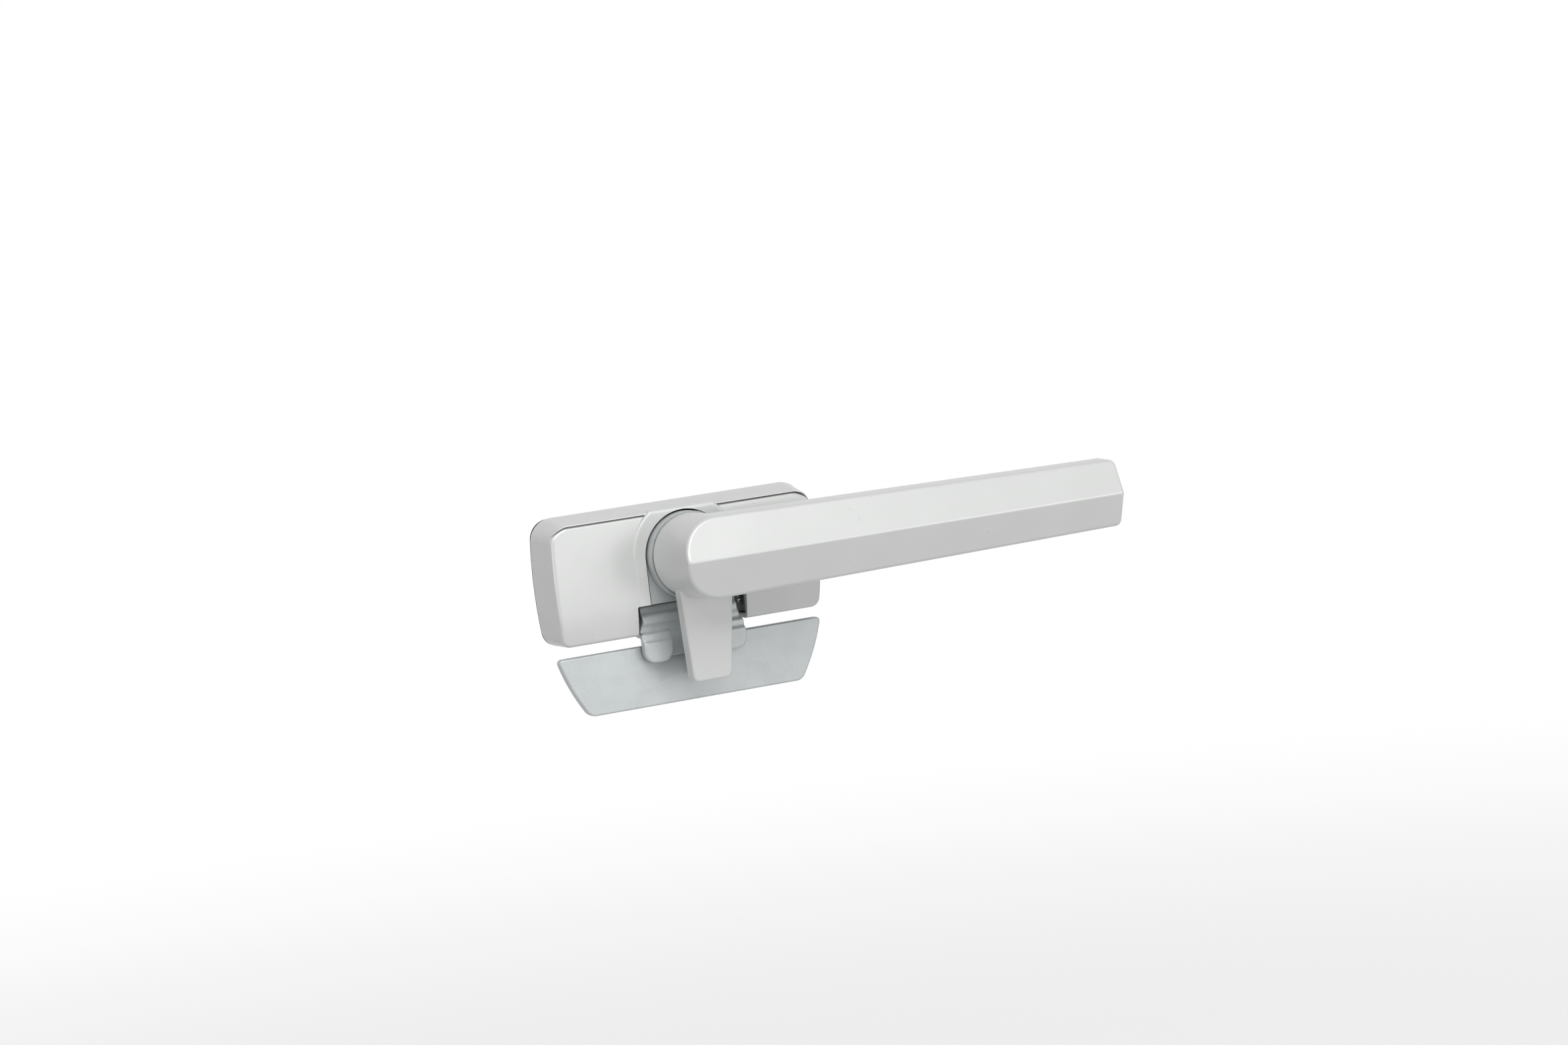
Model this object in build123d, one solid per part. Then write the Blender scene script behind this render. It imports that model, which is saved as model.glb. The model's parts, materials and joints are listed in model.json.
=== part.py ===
from build123d import *
from math import asin, atan2, cos, degrees, radians, sin, sqrt
import os

# Window fastener. Every piece is drawn face on: x to the right along the window
# profile, y up, z out of the mounting face towards the room. On export this turns to
# X right, Z up and -Y towards the room. The origin is the spindle axis at the mounting face.
# All sizes are in millimetres. The fastener is drawn closed: lever right, tongue down.

# Running fits and gaps
RUNNING_CLEARANCE = 0.05
SLIDING_CLEARANCE = 0.15
SLOT_CLEARANCE = 0.25
AXIAL_CLEARANCE = 0.05
FACE_CLEARANCE = 0.3

# How far a cutting or joining shape runs past the face that it meets
OVERRUN = 1.0

# Seal behind the base
GASKET_THICKNESS = 0.8
GASKET_WIDTH = 6.5
GASKET_INSET = 0.2

# Cover: a tapered shell with bowed ends
COVER_HALF_LENGTH = 41.0
COVER_TOP = 13.2
COVER_BOTTOM = -21.0
COVER_DEPTH = 11.5
COVER_FLARE = 1.9
COVER_WALL = 1.4
COVER_END_BOW = 1.1
COVER_TOP_CORNER = 3.6
COVER_LOW_CORNER = 2.2
COVER_CORNER_SPREAD = 1.2
COVER_EDGE_ROUND = 1.2
BAND_RISE = 0.5
BAND_OVERHANG = 0.5
BAND_EDGE_ROUND = 0.4
CUTOUT_HALF_WIDTH = 16.9
CUTOUT_TOP = -12.6
CUTOUT_CORNER = 0.6
SNAP_RIB_LENGTH = 8.0
SNAP_RIB_THICKNESS = 1.0
SNAP_RIB_X = 27.0
SNAP_RIB_BITE = 0.5

# Chassis: zinc casting under the cover
CHASSIS_GAP = 0.3
CHASSIS_ROOF = 1.9
COLLAR_RADIUS = 12.4
COLLAR_DEPTH = 14.6
COLLAR_GAP = 0.25
TOWER_DEPTH = 11.2
CORE_START = 24.5
CORE_EDGE_WALL = 1.8
CORE_CORNER = 1.5
SCREW_BOSS_RADIUS = 5.2

# Back plate and its four screws
BACK_PLATE_THICKNESS = 1.2
BACK_PLATE_HALF_WIDTH = 22.5
BACK_PLATE_TOP = 10.4
BACK_PLATE_CORNER = 1.5
PLATE_SCREW_RADIUS = 1.25
PLATE_SCREW_HEAD_RADIUS = 2.2
PLATE_SCREW_LENGTH = 5.0
PLATE_SCREW_RUNOUT = 0.5
PLATE_SCREW_SLOT_ARM = 1.3
PLATE_SCREW_SLOT_HALF_WIDTH = 0.25
PLATE_SCREW_SLOT_DEPTH = 0.6
PLATE_SCREW_UPPER = (19.4, 7.2)
PLATE_SCREW_LOWER = (20.1, -15.6)

# Machine screws that hold the base on the sash and the keeper on the frame
SCREW_RADIUS = 2.0
SCREW_SHANK_RADIUS = 1.75
SCREW_REACH = 12.0
SASH_SCREW_X = 32.0
SASH_SCREW_HEAD_RADIUS = 3.8
SASH_SCREW_HEAD = 2.6
SASH_SCREW_SEAT = 6.0
SCREW_HOLE_CLEARANCE = 0.25
TIP_CHAMFER = 0.5
HEAD_EDGE_ROUND = 0.4
HEX_SOCKET_RADIUS = 1.5
HEX_SOCKET_DEPTH = 1.4

# Spindle and what turns with it
JOURNAL_RADIUS = 5.0
BUSH_WALL = 2.0
SPINDLE_TAIL_SIDE = 5.5
SPINDLE_HEAD_SIDE = 8.0
SPINDLE_HEAD_TOP = 26.5
CRANK_THICKNESS = 3.0
CRANK_HUB_RADIUS = 5.4
CRANK_THROW = 4.95
CRANK_ARM_END_RADIUS = 3.0
CRANK_REST_ANGLE = -45.0
DRIVE_PIN_RADIUS = 1.75
DRIVE_PIN_GRIP = 2.2
DRIVE_PIN_CHAMFER = 0.3
WAVE_WASHER_THICKNESS = 0.45
WAVE_WASHER_RADIUS = 5.9
NECK_WASHER_THICKNESS = 0.35
NECK_WASHER_INSET = 0.9
CRANK_SCREW_RADIUS = 2.0
CRANK_SCREW_HEAD_RADIUS = 3.1
CRANK_SCREW_HEAD = 1.1
CRANK_SCREW_TIP = 30.5
DRIVER_SLOT_HALF_WIDTH = 0.5
DRIVER_SLOT_DEPTH = 0.6

# Detent in the chassis, left of the crank
BALL_RADIUS = 1.75
NOTCH_DEPTH = 0.35
DETENT_SPRING_LENGTH = 5.6
DETENT_SPRING_COILS = 5
DETENT_WIRE_RADIUS = 0.3
DETENT_PLUG_RADIUS = 2.5
DETENT_PLUG_LENGTH = 5.0

# Handle casting: neck, lever and tongue
NECK_RADIUS = 11.9
LEVER_ROOT_RADIUS = 11.5
LEVER_LENGTH = 127.6
LEVER_TIP_HALF_WIDTH = 9.6
LEVER_BACK_DEPTH = 26.6
LEVER_EDGE_DEPTH = 33.6
LEVER_RIDGE_DEPTH = 38.4
LEVER_TIP_CORNER = 1.6
LEVER_EDGE_ROUND = 0.9
TONGUE_ROOT_HALF_WIDTH = 7.9
TONGUE_TIP_HALF_WIDTH = 5.9
TONGUE_TIP = -35.5
TONGUE_START = -4.0
TONGUE_ROOT_FRONT = 23.2
TONGUE_TIP_FRONT = 20.0
TONGUE_ROOT_BACK = 18.8
TONGUE_TIP_BACK = 15.4
TONGUE_CORNER = 1.8
TONGUE_EDGE_ROUND = 0.6
PAD_WIDTH = 6.4
PAD_HEIGHT = 6.0
PAD_MIDDLE = -30.6
PAD_SINK = 1.8
PAD_CORNER = 1.2
PAD_EDGE_ROUND = 0.5
PAD_LIFT = 0.3

# Forked slide bolt and its springs
BOLT_TRAVEL = 7.0
BOLT_PLATE_BACK = 2.25
BOLT_PLATE_THICKNESS = 2.9
BOLT_PLATE_HALF_WIDTH = 10.0
BOLT_PLATE_TOP = 1.0
BOLT_WEB_HALF_WIDTH = 14.8
BOLT_WEB_TOP = -13.0
BOLT_WEB_BOTTOM = -22.0
BOLT_WEB_FRONT = 9.0
FOOT_OUTER = 15.9
FOOT_INNER = 7.1
FOOT_BOTTOM = -29.1
FOOT_SLOPE_TOP = -20.5
FOOT_SLOPE_BOTTOM = -23.9
FOOT_FRONT = 11.0
FOOT_BACK = 8.2
FOOT_CORNER = 2.6
CHANNEL_BOTTOM = -28.0
CHANNEL_FRONT = 9.4
FLARE_TOP = -17.2
SPRING_RADIUS = 1.15
SPRING_WIRE_RADIUS = 0.22
SPRING_COILS = 9
SPRING_TOP = -3.8

# Keeper on the frame
KEEPER_TOP = -24.3
KEEPER_BOTTOM = -41.6
KEEPER_TOP_HALF_WIDTH = 41.1
KEEPER_BOTTOM_HALF_WIDTH = 33.2
KEEPER_SIDE_BOW = 0.9
KEEPER_DEPTH = 7.7
KEEPER_PLATE = 2.4
KEEPER_CORNER = 1.6
KEEPER_EDGE_ROUND = 0.5
KEEPER_LIP = 1.8
KEEPER_LIP_HALF_WIDTH = 29.0
STRIKE_HALF_WIDTH = 2.3
STRIKE_TOP = -28.6
STRIKE_BOTTOM = -34.4
STRIKE_RAMP = 0.8
PACKER_THICKNESS = 1.0
KEEPER_BASE_HALF_LENGTH = 27.5
KEEPER_SCREW_X = 20.0
KEEPER_SCREW_HEAD = 2.3
KEEPER_SCREW_HEAD_RADIUS = 3.5
GRUB_X = 10.0
GRUB_RADIUS = 1.5
GRUB_TRIM = 0.65

# Sizes that follow from the ones above
BAND_DEPTH = COVER_DEPTH + BAND_RISE
COVER_INSIDE_DEPTH = COVER_DEPTH - COVER_WALL
CHASSIS_DEPTH = COVER_INSIDE_DEPTH - CHASSIS_GAP / 2
CHASSIS_INSET = COVER_WALL + CHASSIS_GAP
FLOOR_CUT = COVER_BOTTOM - OVERRUN
OPENING_RADIUS = COLLAR_RADIUS + COLLAR_GAP
PLATE_FRONT = GASKET_THICKNESS + BACK_PLATE_THICKNESS
CAVITY_FRONT = BOLT_WEB_FRONT + FACE_CLEARANCE
CRANK_FRONT = CAVITY_FRONT - WAVE_WASHER_THICKNESS - 2 * AXIAL_CLEARANCE
CRANK_BACK = CRANK_FRONT - CRANK_THICKNESS
BUSH_RADIUS = JOURNAL_RADIUS + BUSH_WALL
NECK_BACK = COLLAR_DEPTH + NECK_WASHER_THICKNESS + AXIAL_CLEARANCE
PIN_X = CRANK_THROW * cos(radians(CRANK_REST_ANGLE))
PIN_Y = CRANK_THROW * sin(radians(CRANK_REST_ANGLE))
BALL_X = -(CRANK_HUB_RADIUS + BALL_RADIUS + RUNNING_CLEARANCE)
DETENT_DEPTH = (CRANK_BACK + CRANK_FRONT) / 2
SPRING_X = BOLT_WEB_HALF_WIDTH + SLIDING_CLEARANCE + SPRING_RADIUS + SPRING_WIRE_RADIUS
SPRING_CHANNEL_OUTER = SPRING_X + SPRING_RADIUS + SPRING_WIRE_RADIUS + SLIDING_CLEARANCE
SPRING_DEPTH = 7.0
LEVER_BACK_FLARE = NECK_RADIUS - LEVER_ROOT_RADIUS
PAD_BACK = BAND_DEPTH + PAD_LIFT
STRIKE_DEPTH = PAD_BACK - FACE_CLEARANCE
KEEPER_PLATE_BACK = KEEPER_DEPTH - KEEPER_PLATE
KEEPER_MIDDLE = (KEEPER_TOP + KEEPER_BOTTOM) / 2
KEEPER_SCREW_SEAT = KEEPER_PLATE_BACK - KEEPER_SCREW_HEAD
PACKER_TOP = KEEPER_TOP - KEEPER_CORNER
PACKER_BOTTOM = KEEPER_BOTTOM + KEEPER_CORNER
BASE_BLOCK_TOP = PACKER_TOP - KEEPER_LIP
BASE_BLOCK_BOTTOM = PACKER_BOTTOM + KEEPER_LIP + GRUB_RADIUS
BASE_BLOCK_MIDDLE = (BASE_BLOCK_TOP + BASE_BLOCK_BOTTOM) / 2


def box(x0, x1, y0, y1, z0, z1):
    """A block between two corners."""
    block = Box(x1 - x0, y1 - y0, z1 - z0, align=(Align.MIN, Align.MIN, Align.MIN))
    return Pos(x0, y0, z0) * block


def rod(radius, z0, z1, x=0.0, y=0.0):
    """A round bar along the depth, from z0 to z1."""
    bar = Cylinder(radius, z1 - z0, align=(Align.CENTER, Align.CENTER, Align.MIN))
    return Pos(x, y, z0) * bar


def square_bar(side, z0, z1):
    """A square bar on the spindle axis, standing on its corner."""
    return Rot(0, 0, 45) * box(-side / 2, side / 2, -side / 2, side / 2, z0, z1)


def slab(sketch, z0, z1):
    """A flat shape drawn face on, made solid from z0 to z1."""
    return Pos(0, 0, z0) * extrude(sketch, amount=z1 - z0)


def mirrored(solid):
    """A piece and its twin on the other side of the spindle axis."""
    return solid + solid.mirror(Plane.YZ)


def coil(mean_radius, wire_radius, length, turns):
    """A helical spring that stands on z = 0."""
    pitch = (length - 2 * wire_radius) / turns
    path = Pos(0, 0, wire_radius) * Helix(pitch, length - 2 * wire_radius, mean_radius)
    section = Plane(path @ 0, z_dir=path % 0) * Circle(wire_radius)
    return sweep(section, path=path)


def bowed_outline(inset, flare=0.0):
    """The base's outline with two bowed ends, offset inwards; the ends and the top also flare out."""
    half = COVER_HALF_LENGTH - COVER_END_BOW - inset + flare
    top = COVER_TOP - inset + flare
    bottom = COVER_BOTTOM + inset
    middle = (top + bottom) / 2
    lower = Line((-half, bottom), (half, bottom))
    right = ThreePointArc((half, bottom), (half + COVER_END_BOW, middle), (half, top))
    upper = Line((half, top), (-half, top))
    left = ThreePointArc((-half, top), (-half - COVER_END_BOW, middle), (-half, bottom))
    face = make_face(lower + right + upper + left)
    spread = COVER_CORNER_SPREAD * flare - inset / 2
    face = fillet(face.vertices().group_by(Axis.Y)[0], COVER_LOW_CORNER + spread)
    return fillet(face.vertices().group_by(Axis.Y)[-1], COVER_TOP_CORNER + spread)


def cover_form(inset, front, back=GASKET_THICKNESS, grown=0.0):
    """The tapered body of the cover, inset by one wall or grown for the band."""
    slope = COVER_FLARE / (COVER_DEPTH - GASKET_THICKNESS)
    back_face = Pos(0, 0, back) * bowed_outline(inset - grown, slope * (COVER_DEPTH - back))
    front_face = Pos(0, 0, front) * bowed_outline(inset - grown, slope * (COVER_DEPTH - front))
    return loft([back_face, front_face])


def keyhole(radius, half_width, bottom):
    """A circle about the spindle with a straight slot down from it."""
    slot = Pos(0, bottom / 2) * Rectangle(2 * half_width, -bottom)
    return Circle(radius) + slot


def make_cover():
    """Tapered shell with a raised arch band, keyhole, cut-out and snap ribs."""
    outer = cover_form(0, COVER_DEPTH)
    front_edges = outer.faces().sort_by(Axis.Z)[-1].edges()
    outer = fillet(front_edges, COVER_EDGE_ROUND)
    band = slab(keyhole(CUTOUT_HALF_WIDTH, CUTOUT_HALF_WIDTH, CUTOUT_TOP), COVER_INSIDE_DEPTH, BAND_DEPTH)
    band = band & cover_form(0, BAND_DEPTH, back=COVER_INSIDE_DEPTH, grown=BAND_OVERHANG)
    shell = outer + band - cover_form(COVER_WALL, COVER_INSIDE_DEPTH)
    shell -= slab(keyhole(OPENING_RADIUS, OPENING_RADIUS, CUTOUT_TOP), GASKET_THICKNESS, BAND_DEPTH)
    shell -= cutout()
    shell = fillet(shell.edges().group_by(Axis.Z)[-1], BAND_EDGE_ROUND)
    return shell + snap_ribs(0)


def cutout():
    """The open bay at the bottom of the cover, out of which the fork slides."""
    reach = COVER_BOTTOM - COVER_WALL
    bay = Pos(0, (CUTOUT_TOP + reach) / 2) * Rectangle(2 * CUTOUT_HALF_WIDTH, CUTOUT_TOP - reach)
    bay = fillet(bay.vertices().group_by(Axis.Y)[-1], CUTOUT_CORNER)
    return slab(bay, 0, BAND_DEPTH)


def snap_ribs(clearance):
    """Ribs inside the cover's long walls that hook under the chassis."""
    z0 = GASKET_THICKNESS + FACE_CLEARANCE - clearance
    z1 = z0 + SNAP_RIB_THICKNESS + 2 * clearance
    x0 = SNAP_RIB_X - SNAP_RIB_LENGTH / 2 - clearance
    x1 = SNAP_RIB_X + SNAP_RIB_LENGTH / 2 + clearance
    bite = CHASSIS_INSET + SNAP_RIB_BITE + clearance
    upper = box(x0, x1, COVER_TOP - bite, COVER_TOP + COVER_FLARE - COVER_WALL, z0, z1)
    lower = box(x0, x1, COVER_BOTTOM + COVER_WALL / 2, COVER_BOTTOM + bite, z0, z1)
    return mirrored(upper) + mirrored(lower)


def make_base_gasket():
    """Foam ring that seals the base on the sash."""
    outer = bowed_outline(GASKET_INSET, COVER_FLARE)
    inner = bowed_outline(GASKET_WIDTH, COVER_FLARE)
    return slab(outer - inner, 0, GASKET_THICKNESS)


def bolt_bay(clearance):
    """The space in the chassis that the fork slides in, from the cavity to the bottom edge."""
    plate_top = BOLT_PLATE_TOP + BOLT_TRAVEL + clearance
    plate_half = BOLT_PLATE_HALF_WIDTH + clearance
    layer = BOLT_PLATE_BACK + BOLT_PLATE_THICKNESS + clearance
    web_top = BOLT_WEB_TOP + BOLT_TRAVEL + FACE_CLEARANCE
    web_half = BOLT_WEB_HALF_WIDTH + clearance
    upper = box(-plate_half, plate_half, FLOOR_CUT, plate_top, GASKET_THICKNESS, layer)
    lower = box(-web_half, web_half, FLOOR_CUT, web_top, GASKET_THICKNESS, CAVITY_FRONT)
    crank_room = CRANK_THROW + CRANK_ARM_END_RADIUS + FACE_CLEARANCE
    swing = rod(crank_room, layer - OVERRUN, CAVITY_FRONT)
    return upper + lower + swing


def spring_channels():
    """Channels beside the fork for its two springs."""
    reach = SPRING_RADIUS + SPRING_WIRE_RADIUS + SLIDING_CLEARANCE
    back = SPRING_DEPTH - reach
    channel = box(BOLT_WEB_HALF_WIDTH, SPRING_CHANNEL_OUTER, FLOOR_CUT, SPRING_TOP, back, CAVITY_FRONT)
    return mirrored(channel)


def wing_cores():
    """Cored pockets that lighten the two wings from behind, round the screw bosses."""
    wall = CHASSIS_INSET + CORE_EDGE_WALL
    top = COVER_TOP - wall
    bottom = COVER_BOTTOM + wall
    end = COVER_HALF_LENGTH - COVER_END_BOW - wall
    pocket = box(CORE_START, end, bottom, top, GASKET_THICKNESS, CHASSIS_DEPTH - CHASSIS_ROOF)
    pocket = fillet(pocket.edges().filter_by(Axis.Z), CORE_CORNER)
    pocket -= rod(SCREW_BOSS_RADIUS, GASKET_THICKNESS, CHASSIS_DEPTH, SASH_SCREW_X)
    return mirrored(pocket)


def detent_bore():
    """Stepped bore left of the crank: a ball guide, then a thread for the plug."""
    guide_end = BALL_X - DETENT_SPRING_LENGTH - BALL_RADIUS
    thread_end = -CORE_START - OVERRUN
    guide = Cylinder(BALL_RADIUS + SLIDING_CLEARANCE, -guide_end)
    thread = Cylinder(DETENT_PLUG_RADIUS, guide_end - thread_end)
    across = Rot(0, 90, 0)
    bore = Pos(guide_end / 2, 0, DETENT_DEPTH) * across * guide
    return bore + Pos((guide_end + thread_end) / 2, 0, DETENT_DEPTH) * across * thread


def plate_screw_places():
    """The four places of the back plate's screws."""
    upper_x, upper_y = PLATE_SCREW_UPPER
    lower_x, lower_y = PLATE_SCREW_LOWER
    return [(upper_x, upper_y), (-upper_x, upper_y), (lower_x, lower_y), (-lower_x, lower_y)]


def make_chassis():
    """Zinc casting with the collar, the fork's bay, spring channels and screw bosses."""
    body = slab(bowed_outline(CHASSIS_INSET), GASKET_THICKNESS, CHASSIS_DEPTH)
    tower = keyhole(COLLAR_RADIUS, COLLAR_RADIUS, CUTOUT_TOP)
    body += slab(tower, CHASSIS_DEPTH - OVERRUN, TOWER_DEPTH)
    body += rod(COLLAR_RADIUS, CHASSIS_DEPTH - OVERRUN, COLLAR_DEPTH)
    half = CUTOUT_HALF_WIDTH
    body -= box(-half, half, COVER_BOTTOM, CUTOUT_TOP, CAVITY_FRONT, COLLAR_DEPTH)
    body -= back_plate_form(SLIDING_CLEARANCE)
    body -= bolt_bay(SLIDING_CLEARANCE)
    body -= spring_channels()
    body -= wing_cores()
    body -= rod(BUSH_RADIUS, CAVITY_FRONT - OVERRUN, COLLAR_DEPTH)
    body -= detent_bore()
    body -= snap_ribs(SLIDING_CLEARANCE)
    hole = rod(SCREW_RADIUS + SCREW_HOLE_CLEARANCE, 0, CHASSIS_DEPTH, SASH_SCREW_X)
    head_room = SASH_SCREW_HEAD_RADIUS + SCREW_HOLE_CLEARANCE
    hole += rod(head_room, SASH_SCREW_SEAT, CHASSIS_DEPTH, SASH_SCREW_X)
    body -= mirrored(hole)
    hole_end = GASKET_THICKNESS + PLATE_SCREW_LENGTH + PLATE_SCREW_RUNOUT
    for x, y in plate_screw_places():
        body -= rod(PLATE_SCREW_RADIUS, GASKET_THICKNESS, hole_end, x, y)
    return body


def back_plate_form(clearance):
    """The back plate's outline as a solid, with a clearance all round."""
    half = BACK_PLATE_HALF_WIDTH + clearance
    top = BACK_PLATE_TOP + clearance
    bottom = COVER_BOTTOM + CHASSIS_INSET - clearance
    outline = Pos(0, (top + bottom) / 2) * Rectangle(2 * half, top - bottom)
    outline = fillet(outline.vertices(), BACK_PLATE_CORNER)
    return slab(outline, GASKET_THICKNESS, PLATE_FRONT)


def countersunk(radius, head_radius, length, x, y):
    """A countersunk screw form whose flat head lies on the gasket's front face."""
    upright = (Align.CENTER, Align.CENTER, Align.MIN)
    head = Pos(x, y, GASKET_THICKNESS) * Cone(head_radius, radius, head_radius - radius, align=upright)
    return head + rod(radius, GASKET_THICKNESS, GASKET_THICKNESS + length, x, y)


def make_back_plate():
    """Steel plate with four countersunk holes."""
    plate = back_plate_form(0)
    for x, y in plate_screw_places():
        plate -= countersunk(PLATE_SCREW_RADIUS, PLATE_SCREW_HEAD_RADIUS, PLATE_SCREW_LENGTH, x, y)
    return plate


def cross_slot():
    """The cross recess of a countersunk screw, cut from its head's flat face."""
    across = Rectangle(2 * PLATE_SCREW_SLOT_ARM, 2 * PLATE_SCREW_SLOT_HALF_WIDTH)
    down = Rectangle(2 * PLATE_SCREW_SLOT_HALF_WIDTH, 2 * PLATE_SCREW_SLOT_ARM)
    return slab(across + down, 0, PLATE_SCREW_SLOT_DEPTH)


def make_back_plate_screws():
    """Four countersunk screws with a plain cross-slot recess."""
    screws = []
    for x, y in plate_screw_places():
        screw = countersunk(PLATE_SCREW_RADIUS, PLATE_SCREW_HEAD_RADIUS, PLATE_SCREW_LENGTH, x, y)
        screws.append(screw - Pos(x, y, GASKET_THICKNESS) * cross_slot())
    return Part() + screws


def machine_screw(seat, head_radius, head, x, y):
    """A cap screw with a slim shank in the base and its threaded end out of the back."""
    thread = rod(SCREW_RADIUS, -SCREW_REACH, 0, x, y)
    thread = chamfer(thread.faces().sort_by(Axis.Z)[0].edges(), TIP_CHAMFER)
    shank = rod(SCREW_SHANK_RADIUS, 0, seat, x, y)
    cap = rod(head_radius, seat, seat + head, x, y)
    cap = fillet(cap.faces().sort_by(Axis.Z)[-1].edges(), HEAD_EDGE_ROUND)
    socket = extrude(RegularPolygon(HEX_SOCKET_RADIUS, 6), amount=HEX_SOCKET_DEPTH)
    return thread + shank + cap - Pos(x, y, seat + head - HEX_SOCKET_DEPTH) * socket


def make_sash_screws():
    """Two machine screws that hold the base on the sash."""
    screw = machine_screw(SASH_SCREW_SEAT, SASH_SCREW_HEAD_RADIUS, SASH_SCREW_HEAD, SASH_SCREW_X, 0)
    return mirrored(screw)


def make_spindle_bush():
    """Plain bush pressed in the collar."""
    bush = rod(BUSH_RADIUS, CAVITY_FRONT, COLLAR_DEPTH)
    return bush - rod(JOURNAL_RADIUS + RUNNING_CLEARANCE, CAVITY_FRONT, COLLAR_DEPTH)


def make_neck_washer():
    """Thin friction washer on the collar."""
    washer = rod(COLLAR_RADIUS - NECK_WASHER_INSET, COLLAR_DEPTH, COLLAR_DEPTH + NECK_WASHER_THICKNESS)
    return washer - rod(JOURNAL_RADIUS + FACE_CLEARANCE, COLLAR_DEPTH, COLLAR_DEPTH + NECK_WASHER_THICKNESS)


def make_spindle():
    """Round journal with a square tail for the crank and a square head for the neck."""
    tail_back = CRANK_BACK + CRANK_SCREW_HEAD
    spindle = square_bar(SPINDLE_TAIL_SIDE, tail_back, CAVITY_FRONT)
    spindle += rod(JOURNAL_RADIUS, CAVITY_FRONT, NECK_BACK)
    spindle += square_bar(SPINDLE_HEAD_SIDE, NECK_BACK, SPINDLE_HEAD_TOP)
    return spindle - rod(CRANK_SCREW_RADIUS, tail_back, SPINDLE_HEAD_TOP)


def make_crank():
    """Crank arm with the pin's hole, a square hole and two detent notches."""
    arm_end = Pos(PIN_X, PIN_Y) * Circle(CRANK_ARM_END_RADIUS)
    arm = make_hull((Circle(CRANK_HUB_RADIUS) + arm_end).edges())
    crank = slab(arm, CRANK_BACK, CRANK_FRONT)
    crank -= square_bar(SPINDLE_TAIL_SIDE, CRANK_BACK + CRANK_SCREW_HEAD, CRANK_FRONT)
    crank -= rod(CRANK_SCREW_HEAD_RADIUS, CRANK_BACK, CRANK_BACK + CRANK_SCREW_HEAD)
    crank -= rod(DRIVE_PIN_RADIUS, CRANK_BACK, CRANK_BACK + DRIVE_PIN_GRIP, PIN_X, PIN_Y)
    notch = Pos(BALL_X + NOTCH_DEPTH, 0, DETENT_DEPTH) * Sphere(BALL_RADIUS + RUNNING_CLEARANCE)
    crank -= notch
    crank -= Rot(0, 0, -90) * notch
    return crank


def make_drive_pin():
    """Eccentric pin from the crank back into the fork's slot."""
    pin = rod(DRIVE_PIN_RADIUS, PLATE_FRONT + FACE_CLEARANCE, CRANK_BACK + DRIVE_PIN_GRIP, PIN_X, PIN_Y)
    return chamfer(pin.faces().sort_by(Axis.Z)[0].edges(), DRIVE_PIN_CHAMFER)


def make_crank_screw():
    """Axial screw whose thin head sits flush in the crank."""
    seat = CRANK_BACK + CRANK_SCREW_HEAD
    screw = rod(CRANK_SCREW_HEAD_RADIUS, CRANK_BACK, seat) + rod(CRANK_SCREW_RADIUS, seat, CRANK_SCREW_TIP)
    slot = Rectangle(2 * CRANK_SCREW_HEAD_RADIUS, 2 * DRIVER_SLOT_HALF_WIDTH)
    return screw - slab(slot, CRANK_BACK, CRANK_BACK + DRIVER_SLOT_DEPTH)


def make_wave_washer():
    """Spring washer between the crank and the chassis."""
    back = CRANK_FRONT + AXIAL_CLEARANCE
    inner = SPINDLE_TAIL_SIDE / sqrt(2) + FACE_CLEARANCE
    washer = rod(WAVE_WASHER_RADIUS, back, back + WAVE_WASHER_THICKNESS)
    return washer - rod(inner, back, back + WAVE_WASHER_THICKNESS)


def make_detent_ball():
    """Steel ball at the crank's rim."""
    return Pos(BALL_X, 0, DETENT_DEPTH) * Sphere(BALL_RADIUS)


def make_detent_spring():
    """Coil spring behind the ball."""
    length = DETENT_SPRING_LENGTH - 2 * AXIAL_CLEARANCE
    spring = coil(BALL_RADIUS - 2 * DETENT_WIRE_RADIUS, DETENT_WIRE_RADIUS, length, DETENT_SPRING_COILS)
    return Pos(BALL_X - BALL_RADIUS - AXIAL_CLEARANCE, 0, DETENT_DEPTH) * Rot(0, -90, 0) * spring


def make_detent_plug():
    """Grub screw that closes the detent's bore."""
    start = BALL_X - DETENT_SPRING_LENGTH - BALL_RADIUS
    plug = Cylinder(DETENT_PLUG_RADIUS, DETENT_PLUG_LENGTH, align=(Align.CENTER, Align.CENTER, Align.MIN))
    socket = extrude(RegularPolygon(HEX_SOCKET_RADIUS, 6), amount=HEX_SOCKET_DEPTH)
    plug -= Pos(0, 0, DETENT_PLUG_LENGTH - HEX_SOCKET_DEPTH) * socket
    return Pos(start, 0, DETENT_DEPTH) * Rot(0, -90, 0) * plug


def lever_outline(grow):
    """The lever seen face on: a round end, straight tapering sides and a square tip."""
    root = LEVER_ROOT_RADIUS + grow
    end = LEVER_LENGTH + grow
    lean = asin((LEVER_ROOT_RADIUS - LEVER_TIP_HALF_WIDTH) / LEVER_LENGTH)
    x = root * sin(lean)
    y = root * cos(lean)
    tip = (root - end * sin(lean)) / cos(lean)
    sides = Polyline((x, -y), (end, -tip), (end, tip), (x, y))
    face = make_face(sides + ThreePointArc((x, y), (-root, 0), (x, -y)))
    return fillet(face.vertices().group_by(Axis.X)[-1], LEVER_TIP_CORNER)


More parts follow.
